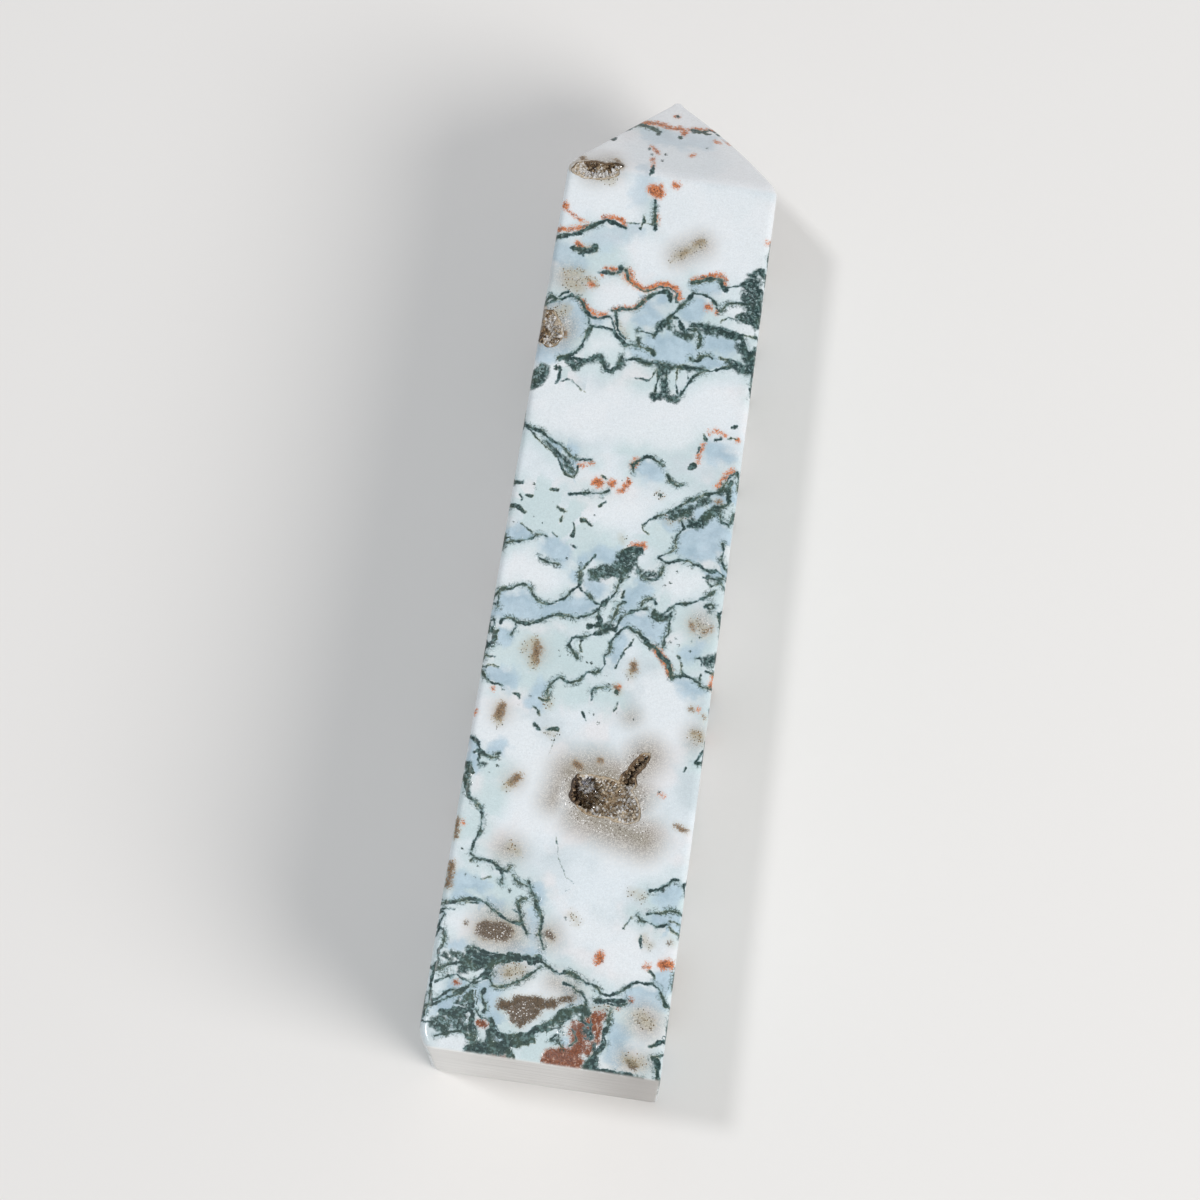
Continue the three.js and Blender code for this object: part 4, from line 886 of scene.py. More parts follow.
def nearest_on(line, points):
    """Distance to a line, the same with its side, how far past the ends, and the foot on it."""
    knots = np.reshape(line[1:], (-1, 2))
    if len(knots) == 1:
        knots = np.vstack([knots, knots + dot_length])
    starts, runs = knots[:-1], np.diff(knots, axis=0)
    lengths = np.maximum(np.linalg.norm(runs, axis=1), 1e-6)
    aims = runs / lengths[:, None]
    away = points[:, None, :] - starts[None]
    along = (away * aims).sum(axis=2)
    across = aims[:, 0] * away[:, :, 1] - aims[:, 1] * away[:, :, 0]
    past = along - np.clip(along, 0, lengths)
    distance = np.hypot(across, past)
    best = distance.argmin(axis=1)
    rows = np.arange(len(points))
    beyond = np.where((best == 0) & (past[rows, best] < 0), -past[rows, best], 0)
    last = best == len(lengths) - 1
    beyond = np.where(last & (past[rows, best] > 0), past[rows, best], beyond)
    signed = np.sign(across[rows, best]) * distance[rows, best]
    signed = np.where(beyond > 0, across[rows, best], signed)
    foot = starts[best] + aims[best] * np.clip(along[rows, best], 0, lengths[best])[:, None]
    return distance[rows, best], signed, beyond, foot


def near(line, flat, margin):
    """Which points lie within a margin of a line's own box."""
    knots = np.reshape(line[1:], (-1, 2))
    low, high = knots.min(axis=0) - margin, knots.max(axis=0) + margin
    return np.flatnonzero(((flat > low) & (flat < high)).all(axis=1))


def turns_left(a, b, c):
    """Whether the way from a over b to c turns left."""
    run, rise = b - a, c - a
    return run[..., 0] * rise[..., 1] > run[..., 1] * rise[..., 0]


def cut_off(points, feet, walls):
    """Whether a vein lies between each point and its foot on a stroke."""
    low = np.minimum(points.min(axis=0), feet.min(axis=0))
    high = np.maximum(points.max(axis=0), feet.max(axis=0))
    starts, ends = walls
    above_low = (np.maximum(starts, ends) > low).all(axis=1)
    close = above_low & (np.minimum(starts, ends) < high).all(axis=1)
    a, b = starts[close][None], ends[close][None]
    p, q = points[:, None], feet[:, None]
    wall_is_split = turns_left(p, q, a) != turns_left(p, q, b)
    way_is_split = turns_left(a, b, p) != turns_left(a, b, q)
    return (wall_is_split & way_is_split).any(axis=1)


def area_field(areas, flat, margin=4.0, walls=None):
    """How deep each point lies inside the nearest stroke, which stops at the walls it is given."""
    field = np.full(len(flat), -margin)
    for area in areas:
        rows = near(area, flat, margin + area[0])
        if len(rows) == 0:
            continue
        distance, _, _, feet = nearest_on(area, flat[rows])
        depth = area[0] - distance
        if walls is not None:
            depth = np.where(cut_off(flat[rows], feet, walls), -margin, depth)
        field[rows] = np.maximum(field[rows], depth)
    return field


# Lines that meet are kept in different layers, so that each stays crisp where it crosses another
vein_layers = 7
keep_apart = 2.1
look_round = 30
far_away = 99.0
stations_on_run = 6
fade_start = 0.55
vein_reach = 2.0
vein_margin = 2.2
no_vein = (0.0, 5.0, 0.1)
swell_depth = 0.3
swell_waves = (1.9, 2.7, 9)


def sorted_in_layers(lines):
    layers = [[] for _ in range(vein_layers)]
    stations = [np.empty((0, 2)) for _ in range(vein_layers)]
    for line in lines:
        knots = np.reshape(line[1:], (-1, 2))
        shares = np.linspace(0, 1, stations_on_run)[:, None]
        runs = [a + (b - a) * shares for a, b in zip(knots[:-1], knots[1:])]
        own = np.vstack(runs) if runs else knots
        gaps = []
        for taken in stations:
            close = taken[(np.abs(taken - own.mean(axis=0)) < look_round).all(axis=1)]
            if len(close) == 0:
                gaps.append(far_away)
                continue
            gaps.append(np.sqrt(((own[:, None] - close[None]) ** 2).sum(axis=2)).min())
        free = [i for i, gap in enumerate(gaps) if gap > keep_apart]
        pick = free[0] if free else int(np.argmax(gaps))
        layers[pick].append(line)
        stations[pick] = np.vstack([stations[pick], own])
    return layers


def vein_field(lines, flat):
    """Signed distance, distance past the ends and half width of the nearest vein of a layer."""
    field = np.tile(np.array(no_vein), (len(flat), 1))
    closest = np.full(len(flat), vein_reach)
    wave_across, wave_along, wave_start = swell_waves
    for line in lines:
        rows = near(line, flat, vein_margin)
        distance, signed, beyond, _ = nearest_on(line, flat[rows])
        nearer = distance < closest[rows]
        rows = rows[nearer]
        closest[rows] = distance[nearer]
        faded = beyond[nearer] + np.maximum(distance[nearer] - fade_start, 0)
        phase = wave_across * flat[rows, 0] + wave_along * flat[rows, 1] + wave_start * line[0]
        swell = 1 + swell_depth * np.sin(phase)
        field[rows] = np.column_stack([signed[nearer], faded, line[0] * swell])
    return field


def paint(mesh, name, values, kind="FLOAT"):
    """Lays a value for each point on the mesh, for the material to read."""
    layer = mesh.attributes.new(name, kind, "POINT")
    layer.data.foreach_set("vector" if kind == "FLOAT_VECTOR" else "value", np.ravel(values))


def mesh_points(mesh):
    flat = np.empty(len(mesh.vertices) * 3)
    mesh.vertices.foreach_get("co", flat)
    return flat.reshape(-1, 3)


held_by_veins = ("blue", "milk", "mint")
held_widening = 1.3
long_vein_half_width = 0.1
long_vein_values = 7
shade_reach = 3.0
sawn_skin = 0.3
stone_points = mesh_points(stone.data)
stone_flat = unwrapped(stone_points)
for number, layer_lines in enumerate(sorted_in_layers(veins)):
    paint(stone.data, f"vein_{number}", vein_field(layer_lines, stone_flat), "FLOAT_VECTOR")
specks = [(size, across, along) for across, along, size in moss_specks]
long_veins = [
    (0.0, *line[1:]) for line in veins
    if line[0] >= long_vein_half_width and len(line) > long_vein_values
]
vein_nearness = area_field(long_veins, stone_flat, shade_reach)
area_sets = {
    "moss": moss_areas, "rust": rust_areas, "iron": iron_areas, "blue": blue_areas,
    "haze": haze_areas, "milk": white_areas, "druse": druse_areas, "speck": specks,
    "pepper": pepper_areas, "mint": mint_areas,
}
vein_knots = [np.reshape(line[1:], (-1, 2)) for line in veins]
vein_walls = (
    np.vstack([knots[:-1] for knots in vein_knots]),
    np.vstack([knots[1:] for knots in vein_knots]),
)
for area_name, areas in area_sets.items():
    held = area_name in held_by_veins
    widening = held_widening if held else 1.0
    widened = [(area[0] * widening, *area[1:]) for area in areas]
    field = area_field(widened, stone_flat, walls=vein_walls if held else None)
    paint(stone.data, area_name, field)
paint(stone.data, "vein_shade", vein_nearness)
sawn = np.clip(1 - stone_points[:, 1] / sawn_skin, 0, 1)
paint(stone.data, "sawn", sawn)

lobe_margin = 1.12
polish_skin = 0.1
sharp_edge = math.radians(32)


def inside_lobes(points, lobes):
    """Whether each point lies in a lobe, or in the margin round it."""
    inside = np.zeros(len(points), bool)
    for across, along, depth, half, turn in lobes:
        away = points - np.array([across, along, upper_surface(along) - depth])
        angle = math.radians(turn)
        along_x = away[:, 0] * math.cos(angle) + away[:, 1] * math.sin(angle)
        along_y = away[:, 1] * math.cos(angle) - away[:, 0] * math.sin(angle)
        size = np.array(half) * lobe_margin
        out = (along_x / size[0]) ** 2 + (along_y / size[1]) ** 2 + (away[:, 2] / size[2]) ** 2
        inside |= out < 1
    return inside


below_face = np.array([upper_surface(along) for along in stone_points[:, 1]]) - stone_points[:, 2]
all_lobes = main_vug_lobes + shoulder_pocket_lobes + edge_pocket_lobes
in_hollow = (below_face > polish_skin) & inside_lobes(stone_points, all_lobes)
paint(stone.data, "hollow", in_hollow.astype(float))
place_in_frame(stone)
stone.data.shade_smooth()
stone.data.set_sharp_from_angle(angle=sharp_edge)


# The look of the polished stone: each pattern is laid over the last, with noise along its border
def add_node(tree, kind, inputs=None, **settings):
    node = tree.nodes.new(kind)
    for name, value in settings.items():
        setattr(node, name, value)
    for key, value in (inputs or {}).items():
        if isinstance(value, bpy.types.NodeSocket):
            tree.links.new(value, node.inputs[key])
        else:
            node.inputs[key].default_value = value
    return node


def calc(tree, operation, *values):
    inputs = dict(enumerate(values))
    return add_node(tree, "ShaderNodeMath", inputs, operation=operation).outputs[0]


def eased(tree, value, start, end, low=0.0, high=1.0):
    """Turns a value smoothly from low at the start to high at the end."""
    inputs = {"Value": value, "From Min": start, "From Max": end, "To Min": low, "To Max": high}
    node = add_node(tree, "ShaderNodeMapRange", inputs, interpolation_type="SMOOTHSTEP")
    return node.outputs[0]


def tinted(tree, share, under, over):
    """Lays one colour over another by a share."""
    node = add_node(tree, "ShaderNodeMix", {0: share}, data_type="RGBA")
    for place, colour in ((6, under), (7, over)):
        if isinstance(colour, bpy.types.NodeSocket):
            tree.links.new(colour, node.inputs[place])
        else:
            node.inputs[place].default_value = (*colour, 1)
    return node.outputs[2]


def millimetres(tree):
    coords = add_node(tree, "ShaderNodeTexCoord").outputs["Object"]
    scaled = add_node(tree, "ShaderNodeVectorMath", {0: coords, 3: 1 / MM}, operation="SCALE")
    return scaled.outputs[0]


def grain(tree, place, scale, detail=2.0, roughness=0.5, stretch=None):
    """Cloudy noise round zero, with features about one over the scale millimetres wide."""
    if stretch:
        inputs = {0: place, 1: stretch}
        place = add_node(tree, "ShaderNodeVectorMath", inputs, operation="MULTIPLY").outputs[0]
    inputs = {"Vector": place, "Scale": scale, "Detail": detail, "Roughness": roughness}
    noise = add_node(tree, "ShaderNodeTexNoise", inputs)
    return calc(tree, "SUBTRACT", noise.outputs[0], 0.5)


def painted(tree, name):
    return add_node(tree, "ShaderNodeAttribute", attribute_name=name)


def new_material(name):
    material = bpy.data.materials.new(name)
    material.use_nodes = True
    tree = material.node_tree
    shader = tree.nodes["Principled BSDF"]
    return material, tree, shader


agate, tree, shader = new_material("polished_tree_agate")
place = millimetres(tree)
place_parts = add_node(tree, "ShaderNodeSeparateXYZ", {0: place})
place_across = place_parts.outputs[0]
place_along = place_parts.outputs[1]
cloud = grain(tree, place, scale=0.11, detail=3)
drift = grain(tree, place, scale=0.45, detail=3)
ragged = calc(tree, "MULTIPLY", grain(tree, place, scale=1.5, detail=3), 0.5)
mottle = grain(tree, place, scale=2.3, detail=3)
fine = grain(tree, place, scale=5.0, detail=3)
frost = grain(tree, place, scale=11.0, detail=2)
speckle = calc(tree, "ADD", fine, frost)
speckled = eased(tree, speckle, -0.2, 0.2)
jagged = calc(tree, "MULTIPLY_ADD", ragged, 2.2, speckle)
grit = add_node(tree, "ShaderNodeTexVoronoi", {"Vector": place, "Scale": 2.6})
grit_tone = add_node(tree, "ShaderNodeSeparateColor", {0: grit.outputs["Color"]}).outputs[0]
granules = calc(tree, "SUBTRACT", grit.outputs["Distance"], 0.36)
cells = add_node(tree, "ShaderNodeTexVoronoi", {"Vector": place, "Scale": 4.2})
cell_tone = add_node(tree, "ShaderNodeSeparateColor", {0: cells.outputs["Color"]})
base_place = stone_low[1] / MM
shoulder_place = base_place + column_length


def area_share(name, noise, noise_reach, soft):
    """How far an area covers a point, with an uneven edge of a given softness."""
    edge = calc(tree, "MULTIPLY_ADD", noise, noise_reach, painted(tree, name).outputs["Fac"])
    return eased(tree, edge, -soft, soft)


def strength(share, most):
    """A share held down to a largest value."""
    return calc(tree, "MULTIPLY", share, most)


# The white body of the stone, from cool white to a greyer bluish white; painted light whitens the
# point
white_cool = (0.735, 0.80, 0.84)
white_grey = (0.585, 0.665, 0.70)
blush_white = (0.79, 0.785, 0.80)
# Painted light: the facets of the point tilt away from the lamps and are painted whiter to look lit
painted_light_point_white = (0.92, 0.925, 0.94)
point_border = 0.5
colour = tinted(tree, eased(tree, cloud, -0.16, 0.14), white_grey, white_cool)
point_start = shoulder_place - point_border
point_end = shoulder_place + point_border
painted_light_point_share = eased(tree, place_along, point_start, point_end, 0.0, 0.8)
colour = tinted(tree, painted_light_point_share, colour, painted_light_point_white)
blush = eased(tree, grain(tree, place, scale=0.17, detail=3), -0.02, 0.14, 0.0, 0.75)
colour = tinted(tree, blush, colour, blush_white)

# Half-clear chalcedony: greenish near the veins, milky, and blue, which is weaker towards the point
mint_white = (0.54, 0.675, 0.69)
milk_white = (0.78, 0.825, 0.855)
blue_deep = (0.33, 0.465, 0.56)
blue_pale = (0.48, 0.62, 0.715)
beside_vein = (0.25, 0.385, 0.42)
blue_fades_from = shoulder_place - 18
blue_faded_at = shoulder_place - 9
near_vein = painted(tree, "vein_shade").outputs["Fac"]
mint_drift = eased(tree, drift, -0.2, 0.2, 0.2, 0.7)
minty = calc(tree, "MULTIPLY", eased(tree, near_vein, -3.0, -0.6), mint_drift)
minty = calc(tree, "MAXIMUM", minty, strength(area_share("mint", drift, 5.0, 1.4), 0.75))
colour = tinted(tree, minty, colour, mint_white)
milk = strength(area_share("milk", drift, 3.0, 1.6), 0.85)
colour = tinted(tree, milk, colour, milk_white)
blue_clear = tinted(tree, eased(tree, drift, -0.2, 0.2), blue_deep, blue_pale)
blue_strength = eased(tree, place_along, blue_fades_from, blue_faded_at, 0.85, 0.42)
blue = calc(tree, "MULTIPLY", area_share("blue", drift, 4.5, 0.8), blue_strength)
colour = tinted(tree, blue, colour, blue_clear)
near_ragged = calc(tree, "MULTIPLY_ADD", ragged, 2.0, near_vein)
shade = eased(tree, near_ragged, -0.8, -0.05, 0.0, 0.7)
shade = calc(tree, "MULTIPLY", shade, eased(tree, drift, -0.15, 0.1, 0.1, 1.0))
colour = tinted(tree, shade, colour, beside_vein)

# The brown haze of fine crystals, darker and browner where it is deep
haze_dark = (0.20, 0.155, 0.11)
haze_pale = (0.60, 0.575, 0.53)
haze_deep = (0.27, 0.235, 0.165)
haze_tone = tinted(tree, speckled, haze_dark, haze_pale)
haze_depth = calc(tree, "MULTIPLY_ADD", speckle, 2.4, painted(tree, "haze").outputs["Fac"])
haze_tone = tinted(tree, eased(tree, haze_depth, 1.2, 3.4, 0.0, 0.7), haze_tone, haze_deep)
haze = strength(area_share("haze", speckle, 3.4, 2.4), 0.92)
colour = tinted(tree, haze, colour, haze_tone)

# Brown iron stain, darkest towards the sawn end, in a paler fringe
iron_dark = (0.07, 0.045, 0.025)
iron_pale = (0.33, 0.215, 0.12)
iron_near_base = (0.062, 0.045, 0.028)
iron_fringe_tone = (0.46, 0.38, 0.24)
iron_darkens_from = base_place + 24
iron_darkest_at = base_place + 19
iron_tone = tinted(tree, speckled, iron_dark, iron_pale)
near_base = eased(tree, place_along, iron_darkens_from, iron_darkest_at, 0.0, 0.72)
iron_tone = tinted(tree, near_base, iron_tone, iron_near_base)
iron_fringe = strength(area_share("iron", speckle, 1.6, 0.75), 0.6)
colour = tinted(tree, iron_fringe, colour, iron_fringe_tone)
iron = strength(area_share("iron", jagged, 1.1, 0.22), 0.97)
colour = tinted(tree, iron, colour, iron_tone)

# Patches broken into small crystals, each a dark or a bright spark of its own size
spark_dark = (0.12, 0.09, 0.065)
# The bright sparks are pale crystals and also painted glints, the shine of their faces painted in
pale_crystal_and_glint = (0.88, 0.87, 0.85)
druse = area_share("druse", ragged, 1.6, 0.5)
spark_tone = tinted(tree, eased(tree, cell_tone.outputs[0], 0.45, 0.55), spark_dark, pale_crystal_and_glint)
spark_size = calc(tree, "MULTIPLY_ADD", cell_tone.outputs[1], -0.42, cells.outputs["Distance"])
spark = eased(tree, spark_size, 0.12, -0.02, 0.0, 0.8)
colour = tinted(tree, calc(tree, "MULTIPLY", druse, spark), colour, spark_tone)

# Olive and brown grains scattered in the white
olive_haze = (0.44, 0.40, 0.28)
grain_olive = (0.045, 0.045, 0.022)
grain_brown = (0.24, 0.15, 0.055)
pepper = area_share("pepper", jagged, 1.2, 0.7)
colour = tinted(tree, strength(pepper, 0.5), colour, olive_haze)
crowd = calc(tree, "MULTIPLY_ADD", painted(tree, "pepper").outputs["Fac"], 0.6, cell_tone.outputs[0])
crowded = eased(tree, crowd, 0.55, 0.7)
grain_size = calc(tree, "MULTIPLY_ADD", cell_tone.outputs[1], -0.3, cells.outputs["Distance"])
pepper_grains = calc(tree, "MULTIPLY", crowded, eased(tree, grain_size, 0.25, 0.12))
pepper_tone = tinted(tree, cell_tone.outputs[2], grain_olive, grain_brown)
colour = tinted(tree, pepper_grains, colour, pepper_tone)

# Orange iron stain with dark and pale flecks, darkest near the sawn end, in a paler fringe
rust_dark = (0.10, 0.04, 0.025)
rust_bright = (0.70, 0.235, 0.09)
rust_dark_fleck = (0.17, 0.065, 0.04)
rust_pale_fleck = (0.62, 0.40, 0.30)
rust_near_base = (0.13, 0.045, 0.026)
rust_fringe_tone = (0.62, 0.34, 0.21)
rust_darkens_from = base_place + 18
rust_darkest_at = base_place + 6
rust_fringe = strength(area_share("rust", speckle, 1.0, 0.5), 0.55)
colour = tinted(tree, rust_fringe, colour, rust_fringe_tone)
rust_tone = tinted(tree, eased(tree, speckle, -0.18, 0.08), rust_dark, rust_bright)
rust_tone = tinted(tree, eased(tree, mottle, 0.02, 0.15, 0.0, 0.75), rust_tone, rust_dark_fleck)
rust_depth = eased(tree, place_along, rust_darkens_from, rust_darkest_at, 0.0, 0.8)
rust_tone = tinted(tree, rust_depth, rust_tone, rust_near_base)
rust_tone = tinted(tree, eased(tree, mottle, -0.08, -0.2, 0.0, 0.7), rust_tone, rust_pale_fleck)
rust = area_share("rust", jagged, 1.2, 0.18)
colour = tinted(tree, rust, colour, rust_tone)

# Moss: dark green threads tangled on grey-green
moss_shadow = (0.12, 0.21, 0.215)
moss_pale = (0.42, 0.52, 0.52)
moss = area_share("moss", ragged, 2.6, 0.3)
ridge = calc(tree, "ABSOLUTE", grain(tree, place, scale=1.3, detail=4, roughness=0.62))
thread = calc(tree, "MAXIMUM", eased(tree, ridge, 0.13, 0.06), eased(tree, granules, 0.04, -0.08))
moss_light = tinted(tree, eased(tree, speckle, 0.0, 0.25), moss_shadow, moss_pale)
colour = tinted(tree, strength(moss, 0.92), colour, moss_light)
moss_dark = calc(tree, "MULTIPLY", moss, thread)
offshoot = eased(tree, ridge, 0.045, 0.015)
offshoot = calc(tree, "MULTIPLY", offshoot, eased(tree, near_ragged, -0.95, -0.35))
offshoot = calc(tree, "MULTIPLY", offshoot, eased(tree, drift, -0.08, 0.1, 0.0, 0.9))

# Veins: the nearest edge over all the layers, beaded along its length, ragged and a little granular
faint_width = 0.07
faint_loss = 3.0
fine_fuzz = 0.17
granule_fuzz = 0.18
skirt_green = (0.12, 0.225, 0.25)
skirt_olive = (0.24, 0.27, 0.18)
vein_dark = (0.009, 0.034, 0.034)
vein_green = (0.035, 0.07, 0.05)
vein_worn = (0.11, 0.195, 0.19)
vein_edge = None
beading = calc(tree, "MULTIPLY_ADD", grain(tree, place, scale=0.8, detail=2), -4.2, -1.15)
for number in range(vein_layers):
    layer_values = painted(tree, f"vein_{number}").outputs["Vector"]
    parts = add_node(tree, "ShaderNodeSeparateXYZ", {0: layer_values})
    uneven = calc(tree, "ADD", parts.outputs[0], ragged)
    reach = add_node(tree, "ShaderNodeCombineXYZ", {0: uneven, 1: parts.outputs[1]}).outputs[0]
    length = add_node(tree, "ShaderNodeVectorMath", {0: reach}, operation="LENGTH").outputs["Value"]
    edge = calc(tree, "MULTIPLY_ADD", parts.outputs[2], beading, length)
    faintness = calc(tree, "MAXIMUM", calc(tree, "SUBTRACT", faint_width, parts.outputs[2]), 0.0)
    edge = calc(tree, "MULTIPLY_ADD", faintness, faint_loss, edge)
    vein_edge = edge if vein_edge is None else calc(tree, "MINIMUM", vein_edge, edge)
vein_edge = calc(tree, "MULTIPLY_ADD", fine, fine_fuzz, vein_edge)
vein_edge = calc(tree, "MULTIPLY_ADD", granules, granule_fuzz, vein_edge)
vein_skirt = eased(tree, vein_edge, 0.2, 0.02, 0.0, 0.8)
skirt_tone = tinted(tree, eased(tree, drift, -0.1, 0.15), skirt_green, skirt_olive)
colour = tinted(tree, vein_skirt, colour, skirt_tone)
vein = eased(tree, vein_edge, 0.06, -0.03)
speck = area_share("speck", fine, 0.7, 0.1)
dark = calc(tree, "MAXIMUM", vein, speck)
dark = calc(tree, "MAXIMUM", dark, moss_dark)
dark = calc(tree, "MAXIMUM", dark, offshoot)
green_tone = tinted(tree, eased(tree, drift, -0.1, 0.2), vein_dark, vein_green)
green_tone = tinted(tree, eased(tree, mottle, -0.02, 0.16, 0.0, 0.85), green_tone, vein_worn)
colour = tinted(tree, dark, colour, green_tone)

# A sugary unevenness over the whole polished face
sugar = calc(tree, "MULTIPLY_ADD", speckle, 0.26, 1.0)
sugar = calc(tree, "MULTIPLY_ADD", mottle, 0.14, sugar)
mottled = add_node(tree, "ShaderNodeVectorMath", {0: colour, 3: sugar}, operation="SCALE")
colour = mottled.outputs[0]

# Walls of the hollows, paler on the right
wall_dark = (0.11, 0.08, 0.055)
wall_brown = (0.42, 0.355, 0.27)
wall_pale = (0.62, 0.59, 0.54)
hollow_tone = tinted(tree, speckled, wall_dark, wall_brown)
hollow_tone = tinted(tree, eased(tree, place_along, 0.0, 10.0, 0.0, 0.75), hollow_tone, wall_pale)
colour = tinted(tree, painted(tree, "hollow").outputs["Fac"], colour, hollow_tone)

# The matt sawn end with the marks of the blade, greyer on the right, and paler on the left with
# painted light
sawn_dark = (0.62, 0.61, 0.59)
sawn_pale = (0.86, 0.85, 0.83)
sawn_left_painted_light = (0.92, 0.92, 0.90)
sawn_right = (0.44, 0.42, 0.40)
blade_marks = (0.09, 1.0, 3.4)
saw_lines = grain(tree, place, scale=1.0, detail=4, roughness=0.7, stretch=blade_marks)
sawn_tone = tinted(tree, eased(tree, saw_lines, -0.2, 0.2), sawn_dark, sawn_pale)
# Painted light: the left part of the sawn end is painted paler, as if more light fell there
painted_light_left_share = eased(tree, place_across, -3.0, -14.0, 0.0, 0.6)
sawn_tone = tinted(tree, painted_light_left_share, sawn_tone, sawn_left_painted_light)
right_share = eased(tree, place_across, 2.0, 14.0, 0.0, 0.7)
sawn_tone = tinted(tree, right_share, sawn_tone, sawn_right)
sawn_share = painted(tree, "sawn").outputs["Fac"]
colour = tinted(tree, sawn_share, colour, sawn_tone)
tree.links.new(colour, shader.inputs["Base Color"])

# The polish: glossy quartz, duller on the moss and the drusy patches, and matt where it is sawn
polish_roughness = 0.12
dull_roughness = 0.16
sawn_roughness = 0.6
undercutting = -0.5
pit_depth = 0.9
saw_mark_depth = 2.0
relief_height = 0.12 * MM
dull = calc(tree, "MAXIMUM", dark, druse)
roughness = calc(tree, "MULTIPLY_ADD", dull, dull_roughness, polish_roughness)
roughness = calc(tree, "MULTIPLY_ADD", fine, 0.05, roughness)
roughness = calc(tree, "MULTIPLY_ADD", sawn_share, sawn_roughness, roughness)
tree.links.new(roughness, shader.inputs["Roughness"])
undercut = calc(tree, "MULTIPLY", dark, undercutting)
pits = calc(tree, "MULTIPLY", druse, calc(tree, "ADD", grit_tone, fine))
relief = calc(tree, "MULTIPLY_ADD", pits, pit_depth, undercut)
saw_marks = calc(tree, "MULTIPLY", saw_lines, sawn_share)
relief = calc(tree, "MULTIPLY_ADD", saw_marks, saw_mark_depth, relief)
bump = add_node(tree, "ShaderNodeBump", {"Height": relief, "Strength": 0.6, "Distance": relief_height})
tree.links.new(bump.outputs[0], shader.inputs["Normal"])
shader.inputs["IOR"].default_value = 1.54
shader.inputs["Subsurface Weight"].default_value = 0.03
shader.inputs["Subsurface Radius"].default_value = (1.2, 1.1, 1.0)
shader.inputs["Subsurface Scale"].default_value = MM
stone.data.materials.clear()
stone.data.materials.append(agate)
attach(stone, "root")
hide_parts("agate_tower")

# The crust of the large hollow: quartz that grew on the wall before the stone was cut, from a
# fine brown lining to clear and smoky six-sided points, all fast to each other and to the wall.
lining_gap = 0.03
lining_thickness = 0.3
lining_clearest = 0.8
lining_shade = (-0.1, 0.12)
below_polish = 0.14
lid_stops = (0, 2, 5)
lid_points = 60
root_share = 0.75
rim_gap = 0.2
point_gap = 0.05
half_stump = 0.4
crystal_sway = 0.28
crystal_lift = 0.25
width_shares = (0.7, 1.2)
length_shares = (1.0, 2.0)
least_length_share = 0.5
crystal_sides = 6
point_steepness = 0.75
least_prism_share = 0.3
tone_spread = 0.24
clearest = 0.9
blue_tone = 1.6
blue_clearness = (0.82, 1.0)


def lid_form():
    """The inside of the stone's outline, a little below the polish, that trims a crust."""
    stops = [sawn_edge, column_length - 1]
    stops += [column_length + past for past in lid_stops]
    build = bmesh.new()
    rings = []
    for along in stops:
        centre, half_x, half_z, radius = ring_sizes(along)
        flat = outline(centre, half_x - below_polish, half_z - below_polish, radius)
        picked = flat[:: max(1, len(flat) // lid_points)]
        rings.append([build.verts.new((x, along, z)) for x, z in picked])
    for ring, after in zip(rings[:-1], rings[1:]):
        for i in range(len(ring)):
            k = (i + 1) % len(ring)
            build.faces.new((ring[i], after[i], after[k], ring[k]))
    build.faces.new(rings[0])
    build.faces.new(list(reversed(rings[-1])))
    bmesh.ops.recalc_face_normals(build, faces=build.faces)
    return built_object("lid", build)


def lining(name, lobes):
    """A thin shell on the wall of a hollow, open where the polish cuts it."""
    shell = hollow_form(name, lobes, lining_gap)
    combine(shell, hollow_form("inner_wall", lobes, lining_gap + lining_thickness), "DIFFERENCE")
    combine(shell, lid_form(), "INTERSECT")
    return shell


def crystal(root, aim, width, length, spin):
    """A six-sided quartz prism with a pointed end: its points, and its faces by number."""
    aim = Vector(aim).normalized()
    turn = aim.to_track_quat("Z", "Y").to_matrix()
    shoulder = max(length - point_steepness * width, least_prism_share * length)
    points = []
    for rise in (0.0, shoulder):
        for side in range(crystal_sides):
            angle = spin + side * math.pi / 3
            local = Vector((width / 2 * math.cos(angle), width / 2 * math.sin(angle), rise))
            points.append(np.array(root) + np.array(turn @ local))
    points.append(np.array(root) + np.array(turn @ Vector((0, 0, length))))
    apex = 2 * crystal_sides
    faces = [tuple(reversed(range(crystal_sides)))]
    for side in range(crystal_sides):
        after = (side + 1) % crystal_sides
        faces.append((side, after, crystal_sides + after, crystal_sides + side))
        faces.append((crystal_sides + side, crystal_sides + after, apex))
    return points, faces


